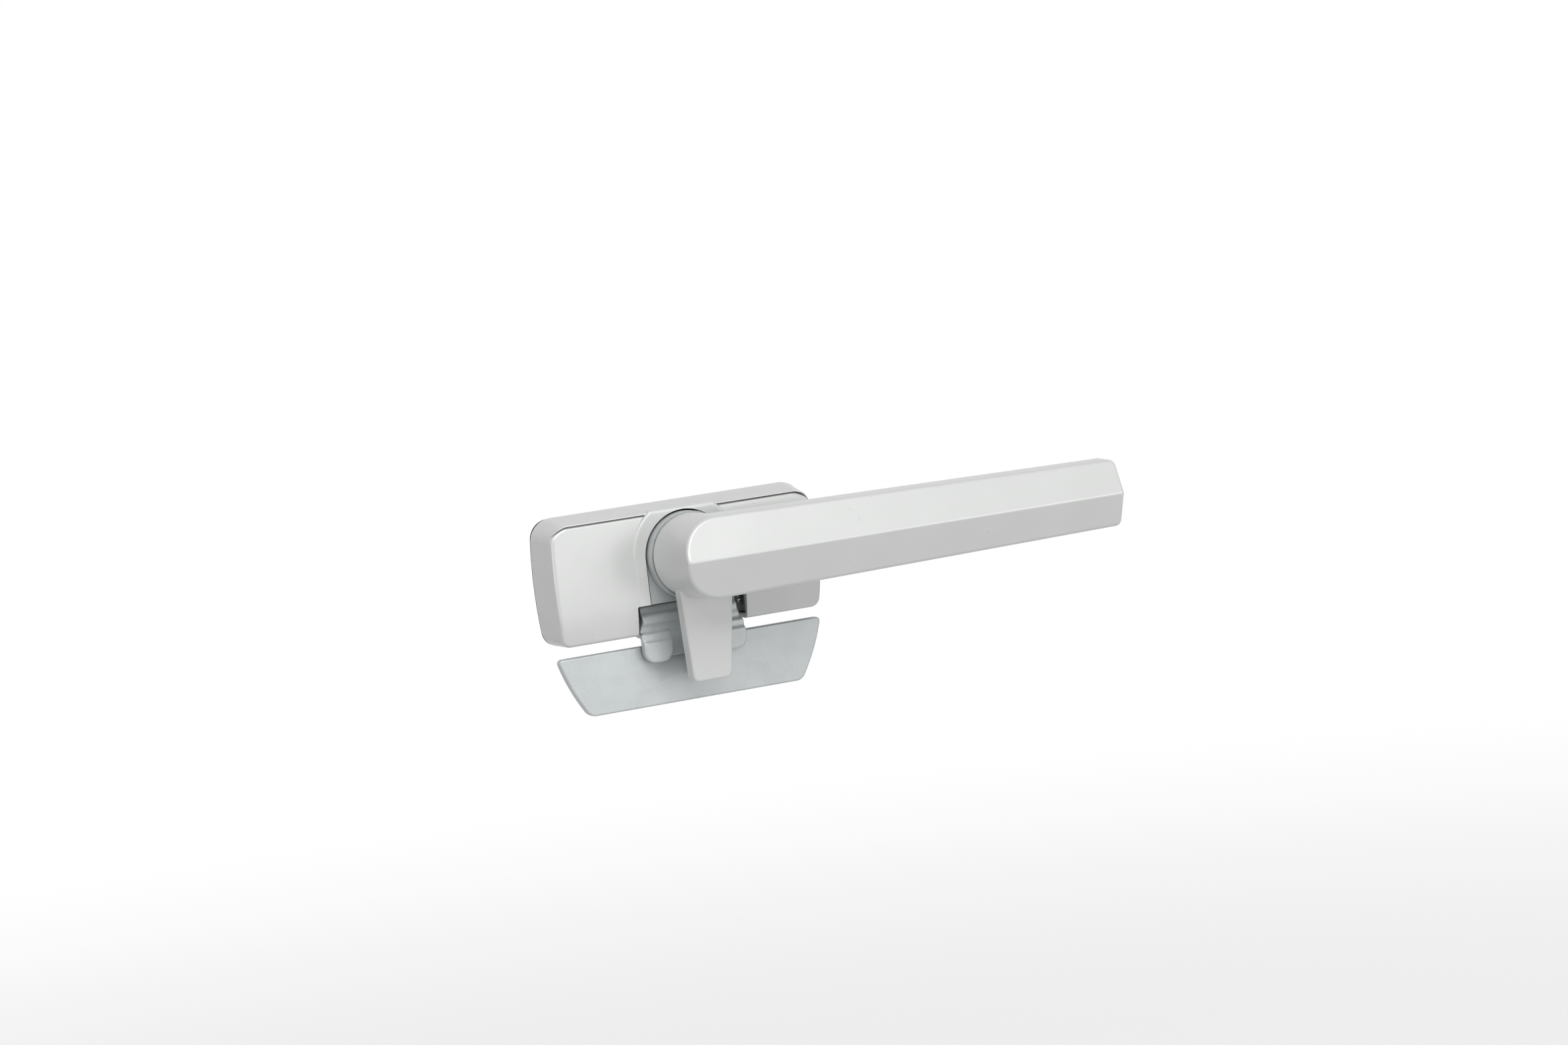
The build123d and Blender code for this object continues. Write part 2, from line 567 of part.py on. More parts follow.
def roof():
    """The space under the lever's two flat front facets, which meet in a ridge."""
    fall = (LEVER_RIDGE_DEPTH - LEVER_EDGE_DEPTH) / LEVER_ROOT_RADIUS
    reach = NECK_RADIUS + OVERRUN
    shoulder = LEVER_RIDGE_DEPTH - fall * reach
    below = LEVER_BACK_DEPTH - OVERRUN
    line = Polyline(
        (-reach, below),
        (-reach, shoulder),
        (0, LEVER_RIDGE_DEPTH),
        (reach, shoulder),
        (reach, below),
        close=True,
    )
    return extrude(Plane.YZ * make_face(line), amount=LEVER_LENGTH + OVERRUN, both=True)


def make_lever():
    """Tapering bar with a roof-shaped front whose edges are rounded all but the ridge."""
    back_face = Pos(0, 0, LEVER_BACK_DEPTH) * lever_outline(LEVER_BACK_FLARE)
    flare_angle = degrees(atan2(LEVER_BACK_FLARE, LEVER_EDGE_DEPTH - LEVER_BACK_DEPTH))
    bar = extrude(back_face, amount=LEVER_RIDGE_DEPTH - LEVER_BACK_DEPTH, taper=flare_angle)
    lever = bar & roof()
    front_edges = lever.edges().filter_by_position(Axis.Z, LEVER_EDGE_DEPTH, LEVER_RIDGE_DEPTH)
    return fillet(front_edges.sort_by(Axis.Z)[:-1], LEVER_EDGE_ROUND)


def tongue_outline():
    """The tongue face on: a taper with two rounded corners at its tip."""
    slope = (TONGUE_ROOT_HALF_WIDTH - TONGUE_TIP_HALF_WIDTH) / (-LEVER_ROOT_RADIUS - TONGUE_TIP)
    top_half = TONGUE_ROOT_HALF_WIDTH + slope * (TONGUE_START + LEVER_ROOT_RADIUS)
    line = Polyline(
        (-top_half, TONGUE_START),
        (top_half, TONGUE_START),
        (TONGUE_TIP_HALF_WIDTH, TONGUE_TIP),
        (-TONGUE_TIP_HALF_WIDTH, TONGUE_TIP),
        close=True,
    )
    face = make_face(line)
    return fillet(face.vertices().group_by(Axis.Y)[0], TONGUE_CORNER)


def make_tongue():
    """Tapering tongue that leans back towards its tip."""
    side = Polyline(
        (TONGUE_START, TONGUE_ROOT_FRONT),
        (TONGUE_TIP, TONGUE_TIP_FRONT),
        (TONGUE_TIP, TONGUE_TIP_BACK),
        (TONGUE_START, TONGUE_ROOT_BACK),
        close=True,
    )
    wedge = extrude(Plane.YZ * make_face(side), amount=NECK_RADIUS, both=True)
    tongue = slab(tongue_outline(), NECK_BACK, LEVER_BACK_DEPTH) & wedge
    front_face = tongue.faces().sort_by(Axis.Z)[-1]
    return fillet(front_face.edges().sort_by(Axis.Y)[:-1], TONGUE_EDGE_ROUND)


def pad_form():
    """The wear pad's block, sunk in the back of the tongue's tip."""
    pad = Pos(0, PAD_MIDDLE) * RectangleRounded(PAD_WIDTH, PAD_HEIGHT, PAD_CORNER)
    return slab(pad, PAD_BACK, TONGUE_TIP_BACK + PAD_SINK)


def make_handle():
    """Neck, lever and tongue in one casting."""
    handle = rod(NECK_RADIUS, NECK_BACK, LEVER_BACK_DEPTH) + make_lever() + make_tongue()
    handle -= pad_form()
    handle -= square_bar(SPINDLE_HEAD_SIDE, NECK_BACK, SPINDLE_HEAD_TOP)
    return handle - rod(CRANK_SCREW_RADIUS, SPINDLE_HEAD_TOP, CRANK_SCREW_TIP)


def make_tongue_pad():
    """Plastic pad with a rounded rubbing face."""
    pad = pad_form()
    return fillet(pad.faces().sort_by(Axis.Z)[0].edges(), PAD_EDGE_ROUND)


def foot_outline():
    """One foot seen face on, flaring out from the web and rounded below."""
    line = Polyline(
        (FOOT_INNER, BOLT_WEB_BOTTOM),
        (FOOT_INNER, FOOT_BOTTOM),
        (FOOT_OUTER, FOOT_BOTTOM),
        (FOOT_OUTER, FOOT_SLOPE_TOP),
        (FOOT_INNER, FOOT_SLOPE_TOP),
        close=True,
    )
    foot = make_face(line)
    return fillet(foot.vertices().group_by(Axis.Y)[0], FOOT_CORNER)


def foot_profile():
    """One foot seen from the side, with its sloping ledge."""
    line = Polyline(
        (FOOT_SLOPE_TOP, FOOT_BACK),
        (FOOT_SLOPE_TOP, BOLT_WEB_FRONT),
        (FOOT_SLOPE_BOTTOM, FOOT_FRONT),
        (FOOT_BOTTOM, FOOT_FRONT),
        (FOOT_BOTTOM, FOOT_BACK),
        close=True,
    )
    return make_face(line)


def web_flare():
    """The small shoulder between the web and one foot, on which a spring pushes."""
    line = Polyline(
        (BOLT_WEB_HALF_WIDTH, FLARE_TOP),
        (FOOT_OUTER, FOOT_SLOPE_TOP),
        (FOOT_OUTER, BOLT_WEB_BOTTOM),
        (BOLT_WEB_HALF_WIDTH, BOLT_WEB_BOTTOM),
        close=True,
    )
    return slab(make_face(line), SPRING_DEPTH - SPRING_RADIUS, BOLT_WEB_FRONT)


def pin_slot():
    """The slot that the drive pin runs in."""
    half = DRIVE_PIN_RADIUS + SLOT_CLEARANCE
    return box(PIN_X - half, CRANK_THROW + half, PIN_Y - half, PIN_Y + half, BOLT_PLATE_BACK, CAVITY_FRONT)


def make_slide_bolt():
    """Fork: slotted plate behind, web in the cut-out and two feet below."""
    plate_half = BOLT_PLATE_HALF_WIDTH
    plate_front = BOLT_PLATE_BACK + BOLT_PLATE_THICKNESS
    web_half = BOLT_WEB_HALF_WIDTH
    bridge_half = FOOT_OUTER - FOOT_CORNER
    bolt = box(-plate_half, plate_half, BOLT_WEB_TOP, BOLT_PLATE_TOP, BOLT_PLATE_BACK, plate_front)
    bolt += box(-web_half, web_half, BOLT_WEB_BOTTOM, BOLT_WEB_TOP, BOLT_PLATE_BACK, BOLT_WEB_FRONT)
    bolt += mirrored(web_flare())
    bolt += box(-bridge_half, bridge_half, CHANNEL_BOTTOM, BOLT_WEB_BOTTOM, FOOT_BACK, CHANNEL_FRONT)
    side_limit = extrude(Plane.YZ * foot_profile(), amount=FOOT_OUTER)
    bolt += mirrored(slab(foot_outline(), FOOT_BACK, FOOT_FRONT) & side_limit)
    return bolt - pin_slot()


def make_bolt_springs():
    """Two springs that push the fork down."""
    length = SPRING_TOP - FLARE_TOP - 2 * AXIAL_CLEARANCE
    spring = coil(SPRING_RADIUS, SPRING_WIRE_RADIUS, length, SPRING_COILS)
    spring = Pos(SPRING_X, SPRING_TOP - AXIAL_CLEARANCE, SPRING_DEPTH) * Rot(90, 0, 0) * spring
    return mirrored(spring)


def keeper_outline():
    """The keeper face on: a trapezoid with bowed sides."""
    upper = KEEPER_TOP_HALF_WIDTH
    lower = KEEPER_BOTTOM_HALF_WIDTH
    middle = (upper + lower) / 2 + KEEPER_SIDE_BOW
    top = Line((-upper, KEEPER_TOP), (upper, KEEPER_TOP))
    right = ThreePointArc((upper, KEEPER_TOP), (middle, KEEPER_MIDDLE), (lower, KEEPER_BOTTOM))
    bottom = Line((lower, KEEPER_BOTTOM), (-lower, KEEPER_BOTTOM))
    left = ThreePointArc((-lower, KEEPER_BOTTOM), (-middle, KEEPER_MIDDLE), (-upper, KEEPER_TOP))
    face = make_face(top + right + bottom + left)
    return fillet(face.vertices(), KEEPER_CORNER)


def strike():
    """Raised rib that the tongue's pad runs on, with a ramp on each side."""
    base = STRIKE_HALF_WIDTH
    crest = base - STRIKE_RAMP
    root = KEEPER_DEPTH - OVERRUN
    line = Polyline(
        (-base, root),
        (-base, STRIKE_DEPTH - STRIKE_RAMP),
        (-crest, STRIKE_DEPTH),
        (crest, STRIKE_DEPTH),
        (base, STRIKE_DEPTH - STRIKE_RAMP),
        (base, root),
        close=True,
    )
    plane = Plane(origin=(0, STRIKE_BOTTOM, 0), x_dir=(-1, 0, 0), z_dir=(0, 1, 0))
    return extrude(plane * make_face(line), amount=STRIKE_TOP - STRIKE_BOTTOM)


def make_keeper():
    """Trapezoid plate with two lips behind it and the strike rib in front."""
    plate = slab(keeper_outline(), KEEPER_PLATE_BACK, KEEPER_DEPTH)
    plate = fillet(plate.faces().sort_by(Axis.Z)[-1].edges(), KEEPER_EDGE_ROUND)
    half = KEEPER_LIP_HALF_WIDTH
    upper = box(-half, half, BASE_BLOCK_TOP, PACKER_TOP, PACKER_THICKNESS, KEEPER_PLATE_BACK)
    lower = box(-half, half, PACKER_BOTTOM, BASE_BLOCK_BOTTOM, PACKER_THICKNESS, KEEPER_PLATE_BACK)
    return plate + upper + lower + strike() - mirrored(grub_form(0))


def grub_form(trim):
    """A grub screw that points up through the lower lip."""
    depth = (PACKER_THICKNESS + KEEPER_PLATE_BACK) / 2
    length = BASE_BLOCK_BOTTOM - PACKER_BOTTOM - trim
    grub = Cylinder(GRUB_RADIUS, length, align=(Align.CENTER, Align.CENTER, Align.MAX))
    return Pos(GRUB_X, BASE_BLOCK_BOTTOM, depth) * Rot(-90, 0, 0) * grub


def make_keeper_grub_screws():
    """Two grub screws that lock the plate on its block."""
    return mirrored(grub_form(GRUB_TRIM))


def make_keeper_base():
    """Block screwed on the frame, with two counterbored holes."""
    half = KEEPER_BASE_HALF_LENGTH
    block = box(-half, half, BASE_BLOCK_BOTTOM, BASE_BLOCK_TOP, PACKER_THICKNESS, KEEPER_PLATE_BACK)
    hole = rod(SCREW_RADIUS + SCREW_HOLE_CLEARANCE, 0, KEEPER_SCREW_SEAT, KEEPER_SCREW_X, BASE_BLOCK_MIDDLE)
    head_room = KEEPER_SCREW_HEAD_RADIUS + SCREW_HOLE_CLEARANCE
    hole += rod(head_room, KEEPER_SCREW_SEAT, KEEPER_PLATE_BACK, KEEPER_SCREW_X, BASE_BLOCK_MIDDLE)
    return block - mirrored(hole)


def make_keeper_packer():
    """Plastic packer between the block and the frame."""
    half = KEEPER_LIP_HALF_WIDTH
    packer = box(-half, half, PACKER_BOTTOM, PACKER_TOP, 0, PACKER_THICKNESS)
    hole_radius = SCREW_RADIUS + SCREW_HOLE_CLEARANCE
    return packer - mirrored(rod(hole_radius, 0, PACKER_THICKNESS, KEEPER_SCREW_X, BASE_BLOCK_MIDDLE))


def make_keeper_screws():
    """Two machine screws that hold the keeper on the frame."""
    seat = KEEPER_SCREW_SEAT
    head = KEEPER_SCREW_HEAD - AXIAL_CLEARANCE
    screw = machine_screw(seat, KEEPER_SCREW_HEAD_RADIUS, head, KEEPER_SCREW_X, BASE_BLOCK_MIDDLE)
    return mirrored(screw)


def save(name, shape):
    """Turn a piece into the window's frame and write it."""
    export_step(Plane.XZ.location * shape, "parts/" + name + ".step")


os.makedirs("parts", exist_ok=True)
save("cover", make_cover())
save("chassis", make_chassis())
save("base_gasket", make_base_gasket())
save("back_plate", make_back_plate())
save("back_plate_screws", make_back_plate_screws())
save("sash_screws", make_sash_screws())
save("spindle_bush", make_spindle_bush())
save("neck_washer", make_neck_washer())
save("wave_washer", make_wave_washer())
save("detent_ball", make_detent_ball())
save("detent_spring", make_detent_spring())
save("detent_plug", make_detent_plug())
save("handle", make_handle())
save("tongue_pad", make_tongue_pad())
save("spindle", make_spindle())
save("crank", make_crank())
save("crank_screw", make_crank_screw())
save("drive_pin", make_drive_pin())
save("slide_bolt", make_slide_bolt())
save("bolt_springs", make_bolt_springs())
save("keeper", make_keeper())
save("keeper_base", make_keeper_base())
save("keeper_packer", make_keeper_packer())
save("keeper_screws", make_keeper_screws())
save("keeper_grub_screws", make_keeper_grub_screws())
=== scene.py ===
"""Looks of the window fastener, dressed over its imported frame.

Lengths are millimetres in face-on axes: x to the right along the window profile, y up and
z out of the mounting face towards the room. Each finished mesh is turned into the frame's
metres, where X is right, Z is up and -Y is towards the room.
"""

import json
import logging
from dataclasses import dataclass
from enum import Enum
from math import cos, pi, radians, sin
from typing import Callable, Iterable, Mapping, Sequence

import bmesh
import bpy
from bmesh.types import BMEdge, BMesh, BMFace, BMVert
from mathutils import Matrix, Vector


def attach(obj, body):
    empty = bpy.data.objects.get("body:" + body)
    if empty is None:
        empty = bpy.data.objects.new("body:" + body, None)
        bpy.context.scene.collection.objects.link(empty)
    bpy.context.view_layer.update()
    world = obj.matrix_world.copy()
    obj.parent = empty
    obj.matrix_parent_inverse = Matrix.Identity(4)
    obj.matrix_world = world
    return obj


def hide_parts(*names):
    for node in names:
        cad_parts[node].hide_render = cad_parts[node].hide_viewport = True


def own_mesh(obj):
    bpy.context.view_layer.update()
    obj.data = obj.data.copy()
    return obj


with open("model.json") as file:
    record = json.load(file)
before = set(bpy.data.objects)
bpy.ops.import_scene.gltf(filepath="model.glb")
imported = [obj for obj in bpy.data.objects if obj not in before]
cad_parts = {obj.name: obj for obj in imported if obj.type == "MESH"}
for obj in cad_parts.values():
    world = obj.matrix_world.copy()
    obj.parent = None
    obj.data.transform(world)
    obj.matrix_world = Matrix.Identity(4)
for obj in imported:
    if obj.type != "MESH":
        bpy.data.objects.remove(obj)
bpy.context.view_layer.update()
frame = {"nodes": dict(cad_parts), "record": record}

log = logging.getLogger("window_fastener")

Span = tuple[float, float]
Point = tuple[float, float, float]
Piece = bpy.types.Object
Material = bpy.types.Material
Node = bpy.types.Node
Socket = bpy.types.NodeSocket
Tree = bpy.types.NodeTree
Given = Mapping[str, Socket]
Labelled = tuple[tuple[str, float], ...]

MILLIMETRE = 0.001
TO_FRAME = Matrix.Rotation(radians(90), 4, "X") @ Matrix.Scale(MILLIMETRE, 4)
ORIGIN = (0, 0, 0)
UP = (0, 1, 0)
WHITE = (1, 1, 1, 1)

# Distances: a touch, the weld of lofted corners, and how far a cut runs past a surface.
SMALL = 0.001
WELD = 0.01
MARGIN = 1.0

# Decimals that count when corners are put in order.
ORDER_DIGITS = 5

# Flats round a bar, cuts in a bowed end and strips in a rounding.
ROUND_SIDES = 96
HOLE_SIDES = 32
BOW_CUTS = 11
TINY_ARC = 2
SMALL_ARC = 3
EDGE_ARC = 4
CORNER_ARC = 5
WIDE_ARC = 8
TOP_ARC = 10

# Turns in degrees over which an edge counts as an edge, and stays sharp when shaded.
CLEAR_TURN = 40.0
SHARP_TURN = 38.0

# Range of a noise that is stretched to the full range.
NOISE_SPAN = (0.3, 0.7)

# Colour sockets of the mixing node, which has others of the same names.
MIX_FIRST = 6
MIX_SECOND = 7
MIX_RESULT = 2


class Body(Enum):
    """The moving groups of the frame."""

    ROOT = "root"
    HANDLE = "handle"
    BOLT = "bolt"


class Join(Enum):
    """How one solid is combined with another."""

    ADD = "UNION"
    CUT = "DIFFERENCE"


class Slot(Enum):
    """The record's material slots."""

    SILVER_PAINT = "silver_paint"
    BARE_ZINC = "bare_zinc"
    PLATED_STEEL = "zinc_plated_steel"
    SEAL = "black_seal"
    BRONZE = "bearing_bronze"
    ACETAL = "acetal"
    NYLON = "dark_nylon"
    BLACK_OXIDE = "black_oxide"
    HARD_STEEL = "hardened_steel"
    SPRING_STEEL = "spring_steel"


def whole(bm: BMesh) -> list:
    """Returns every corner, edge and face of a mesh."""
    return bm.verts[:] + bm.edges[:] + bm.faces[:]


def shift(bm: BMesh, x: float, y: float, z: float) -> None:
    """Moves a whole mesh."""
    bmesh.ops.translate(bm, verts=bm.verts, vec=(x, y, z))


def turn(bm: BMesh, degrees: float, axis: str) -> None:
    """Turns a whole mesh about an axis through the origin."""
    bmesh.ops.rotate(bm, verts=bm.verts, cent=ORIGIN, matrix=Matrix.Rotation(radians(degrees), 3, axis))


def pour(bm: BMesh, mesh: bpy.types.Mesh) -> None:
    """Writes a working mesh to a stored one and frees it."""
    bm.to_mesh(mesh)
    bm.free()


def put_in_order(bm: BMesh) -> None:
    """Rebuilds a mesh with its corners and faces in a fixed order.

    Extrusions, spins and bevels hand out new parts in an order that changes from run to
    run, and a later step with a choice would then choose differently each time.

    Args:
        bm: Mesh to rebuild; what pointed at its parts no longer does.
    """
    verts = sorted(bm.verts, key=lambda v: [round(c, ORDER_DIGITS) for c in v.co])
    number = {v: i for i, v in enumerate(verts)}
    corners = [v.co.copy() for v in verts]
    rings = []
    for face in bm.faces:
        ring = [number[v] for v in face.verts]
        start = ring.index(min(ring))
        rings.append(ring[start:] + ring[:start])
    bm.clear()
    made = [bm.verts.new(corner) for corner in corners]
    for ring in sorted(rings):
        bm.faces.new([made[i] for i in ring])
    bm.normal_update()


def close_skin(bm: BMesh) -> None:
    """Turns the faces of a closed mesh outwards and puts its parts in order."""
    bmesh.ops.recalc_face_normals(bm, faces=bm.faces)
    put_in_order(bm)


def merge_flat(bm: BMesh, degrees: float) -> None:
    """Closes a mesh and merges neighbouring faces that turn less than an angle."""
    close_skin(bm)
    bmesh.ops.dissolve_limit(bm, angle_limit=radians(degrees), verts=bm.verts, edges=bm.edges)
    put_in_order(bm)


def polygon(bm: BMesh, points: Sequence[Span], z: float = 0.0) -> BMFace:
    """Makes one flat face from a few face-on points.

    Args:
        bm: Mesh that takes the face.
        points: Corners, in order round the face.
        z: Depth of the face.

    Returns:
        The new face.
    """
    return bm.faces.new([bm.verts.new((x, y, z)) for x, y in points])


def raise_faces(bm: BMesh, faces: Sequence[BMFace], move: Sequence[float]) -> list[BMVert]:
    """Extrudes a region of faces and moves its new end.

    Args:
        bm: Mesh to work in.
        faces: Region to extrude.
        move: How far the new end travels.

    Returns:
        Vertices of the new end.
    """
    in_solid = not any(e.is_boundary for f in faces for e in f.edges)
    made = bmesh.ops.extrude_face_region(bm, geom=list(faces))["geom"]
    moved = [item for item in made if isinstance(item, BMVert)]
    bmesh.ops.translate(bm, verts=moved, vec=Vector(move))
    if in_solid:
        bmesh.ops.delete(bm, geom=list(faces), context="FACES")
    return moved


def draw_out(bm: BMesh, edges: Sequence[BMEdge]) -> list[BMVert]:
    """Extrudes edges to a strip and returns its far corners, not moved yet."""
    drawn = bmesh.ops.extrude_edge_only(bm, edges=edges)["geom"]
    return [item for item in drawn if isinstance(item, BMVert)]


def slice_at(bm: BMesh, point: Point, normal: Point, near: float = 0.0, drop: bool = False) -> None:
    """Cuts a mesh along a plane.

    Args:
        bm: Mesh to cut.
        point: A point of the plane.
        normal: Its direction.
        near: Distance within which corners count as on the plane.
        drop: Whether what lies beyond the plane goes.
    """
    bmesh.ops.bisect_plane(
        bm, geom=whole(bm), dist=near, plane_co=point, plane_no=normal, clear_outer=drop
    )


def round_off(
    bm: BMesh, parts: Iterable[BMEdge | BMVert], offset: float, segments: int, affect: str = "EDGES"
) -> None:
    """Rounds edges, or the corners of a flat face, with an even arc.

    Args:
        bm: Mesh to work in.
        parts: Edges or corners to round.
        offset: Distance from each to where the arc starts.
        segments: Number of strips in the arc.
        affect: EDGES or VERTICES.
    """
    bmesh.ops.bevel(
        bm, geom=list(parts), offset=offset, offset_type="OFFSET", segments=segments,
        profile=0.5, affect=affect, material=-1, clamp_overlap=True, loop_slide=True,
    )


def bow_ends(bm: BMesh, ends: Sequence[BMEdge], span: Span, beyond: float, bow: float) -> None:
    """Bows the two ends of a flat face outwards.

    Args:
        bm: Mesh that holds only the face.
        ends: The straight edge at each end.
        span: Bottom and top of the face.
        beyond: Distance from the middle past which points move.
        bow: Rise of the bow at its middle.
    """
    bmesh.ops.subdivide_edges(bm, edges=list(ends), cuts=BOW_CUTS)
    bmesh.ops.dissolve_faces(bm, faces=bm.faces[:], use_verts=False)
    middle = (span[0] + span[1]) / 2
    reach = (span[1] - span[0]) / 2
    for v in bm.verts:
        if abs(v.co.x) > beyond:
            v.co.x += bow * (1 - ((v.co.y - middle) / reach) ** 2) * (1 if v.co.x > 0 else -1)


def edges_where(bm: BMesh, test: Callable[[Vector, BMEdge], bool]) -> list[BMEdge]:
    """Finds edges by their middle point.

    Args:
        bm: Mesh to search.
        test: Says yes or no from an edge's middle and the edge.

    Returns:
        The edges that pass.
    """
    return [e for e in bm.edges if test((e.verts[0].co + e.verts[1].co) / 2, e)]


def turns(edge: BMEdge, degrees: float) -> bool:
    """Says whether the faces at an edge turn by more than an angle."""
    return edge.calc_face_angle(0.0) > radians(degrees)


def on_level(mid: Vector, edge: BMEdge, z: float) -> bool:
    """Says whether an edge lies at a depth and its faces turn clearly."""
    return abs(mid.z - z) < SMALL and turns(edge, CLEAR_TURN)


def depth_run(edge: BMEdge) -> float:
    """Returns how far an edge runs along the depth."""
    return abs(edge.verts[0].co.z - edge.verts[1].co.z)


def block(x: Span, y: Span, z: Span, edge: float = 0.0) -> BMesh:
    """Makes a block between two corners, with its edges rounded if asked.

    Args:
        x: Left and right.
        y: Bottom and top.
        z: Back and front.
        edge: Radius of the edges, or 0 for sharp ones.

    Returns:
        A new mesh.
    """
    bm = bmesh.new()
    bmesh.ops.create_cube(bm, size=1.0)
    bmesh.ops.scale(bm, verts=bm.verts, vec=[high - low for low, high in (x, y, z)])
    shift(bm, *((low + high) / 2 for low, high in (x, y, z)))
    if edge:
        round_off(bm, bm.edges, edge, SMALL_ARC)
    return bm


def disc_rod(radius: float, z: Span, sides: int = ROUND_SIDES) -> BMesh:
    """Makes a round bar along the depth.

    Args:
        radius: Radius of the bar.
        z: Back and front.
        sides: Number of flats round it.

    Returns:
        A new mesh.
    """
    bm = bmesh.new()
    bmesh.ops.create_cone(
        bm, cap_ends=True, segments=sides, radius1=radius, radius2=radius, depth=z[1] - z[0]
    )
    shift(bm, 0, 0, (z[0] + z[1]) / 2)
    return bm


def prism(points: Iterable[Point], move: Point) -> BMesh:
    """Makes a straight bar from the corners of one end.

    Args:
        points: Corners of that end, in order.
        move: From there to the other end.

    Returns:
        A new mesh.
    """
    bm = bmesh.new()
    bm.faces.new([bm.verts.new(point) for point in points])
    raise_faces(bm, bm.faces[:], move)
    close_skin(bm)
    return bm


def loft(first: BMesh, second: BMesh) -> BMesh:
    """Joins two flat faces with equal numbers of corners by walls.

    Args:
        first: Mesh with one face; it takes the result.
        second: Mesh with the other face; it is freed.

    Returns:
        The first mesh, closed.
    """
    mesh = bpy.data.meshes.new("loft")
    pour(second, mesh)
    first.from_mesh(mesh)
    bpy.data.meshes.remove(mesh)
    bmesh.ops.bridge_loops(first, edges=[e for e in first.edges if e.is_boundary])
    close_skin(first)
    return first


def loose_object(name: str, bm: BMesh) -> Piece:
    """Puts a mesh in an object of its own, still in millimetres.

    Args:
        name: Name of the object.
        bm: Mesh to use; it is freed.

    Returns:
        The new object.
    """
    close_skin(bm)
    mesh = bpy.data.meshes.new(name)
    pour(bm, mesh)
    made = bpy.data.objects.new(name, mesh)
    bpy.context.scene.collection.objects.link(made)
    return made


def bake_modifiers(piece: Piece) -> None:
    """Replaces a piece's mesh by what its modifiers make of it."""
    bpy.context.view_layer.update()
    shaped = piece.evaluated_get(bpy.context.evaluated_depsgraph_get())
    mesh = bpy.data.meshes.new_from_object(shaped)
    piece.modifiers.clear()
    old = piece.data
    piece.data = mesh
    bpy.data.meshes.remove(old)


def combine(piece: Piece, tool: BMesh, how: Join) -> None:
    """Adds a solid to a piece or cuts it away.

    Args:
        piece: Piece to change.
        tool: The other solid; it is freed.
        how: Whether it is added or cut.

    Raises:
        RuntimeError: Nothing is left of the piece.
    """
    other = loose_object("tool", tool)
    step = piece.modifiers.new("shape", "BOOLEAN")
    step.operation = how.value
    step.solver = "EXACT"
    step.object = other
    bake_modifiers(piece)
    if not piece.data.polygons:
        raise RuntimeError(f"{piece.name} came out empty from the step {how.name}")
    mesh = other.data
    bpy.data.objects.remove(other)
    bpy.data.meshes.remove(mesh)


def feed(tree: Tree, value: object, socket: Socket) -> None:
    """Links a value to a shader input, or sets it there if it is a constant."""
    if isinstance(value, Socket):
        tree.links.new(value, socket)
    else:
        socket.default_value = value


def add(tree: Tree, kind: str, **values: object) -> Node:
    """Adds a shader node and sets its options and inputs.

    Args:
        tree: Node tree that takes it.
        kind: Blender's name of the node type.
        values: Options by attribute name, or inputs by label with underscores for spaces.

    Returns:
        The new node.
    """
    node = tree.nodes.new(kind)
    for name, value in values.items():
        if hasattr(node, name):
            setattr(node, name, value)
        else:
            feed(tree, value, node.inputs[name.replace("_", " ")])
    return node


def calculate(tree: Tree, operation: str, *values: object) -> Socket:
    """Adds a maths node.

    Args:
        tree: Node tree.
        operation: Blender's name of the sum.
        values: Numbers or sockets, in the order of its inputs.

    Returns:
        The result.
    """
    node = add(tree, "ShaderNodeMath", operation=operation)
    for value, socket in zip(values, node.inputs):
        feed(tree, value, socket)
    return node.outputs[0]


def noise(tree: Tree, where: Socket, scale: object, detail: float) -> Socket:
    """Adds a noise.

    Args:
        tree: Node tree.
        where: Coordinates.
        scale: Its scale, a number or a socket.
        detail: Its detail.

    Returns:
        The noise, about 0 to 1.
    """
    return add(tree, "ShaderNodeTexNoise", Vector=where, Scale=scale, Detail=detail).outputs["Fac"]


def ramp(tree: Tree, factor: Socket, span: Span, result: Span = (0.0, 1.0)) -> Socket:
    """Maps a range of a value to another, smoothly and clamped.

    Args:
        tree: Node tree.
        factor: Value to map.
        span: Where the range starts and ends.
        result: Results at its start and end.

    Returns:
        The mapped value.
    """
    node = add(
        tree, "ShaderNodeMapRange", interpolation_type="SMOOTHSTEP", Value=factor,
        From_Min=span[0], From_Max=span[1], To_Min=result[0], To_Max=result[1],
    )
    return node.outputs["Result"]


def blend_colour(tree: Tree, factor: Socket, first: object, second: object) -> Socket:
    """Mixes two colours by a mask.

    Args:
        tree: Node tree.
        factor: Mask from 0 to 1.
        first: Colour or socket where the mask is 0.
        second: Colour or socket where the mask is 1.

    Returns:
        The mixed colour.
    """
    node = add(tree, "ShaderNodeMix", data_type="RGBA", Factor=factor)
    feed(tree, first, node.inputs[MIX_FIRST])
    feed(tree, second, node.inputs[MIX_SECOND])
    return node.outputs[MIX_RESULT]


def mix_shaders(tree: Tree, share: Socket, first: Node, second: Node) -> Node:
    """Mixes two shaders.

    Args:
        tree: Node tree.
        share: Share of the second shader.
        first: Shader where the share is 0.
        second: Shader where the share is 1.

    Returns:
        The mixing node.
    """
    node = tree.nodes.new("ShaderNodeMixShader")
    for value, socket in zip((share, first.outputs[0], second.outputs[0]), node.inputs):
        tree.links.new(value, socket)
    return node


def page_rays(tree: Tree) -> Socket:
    """Builds the mask of the rays that see the white page: camera, glossy and transmission."""
    rays = tree.nodes.new("ShaderNodeLightPath").outputs
    first = calculate(tree, "MAXIMUM", rays["Is Camera Ray"], rays["Is Glossy Ray"])
    return calculate(tree, "MAXIMUM", first, rays["Is Transmission Ray"])


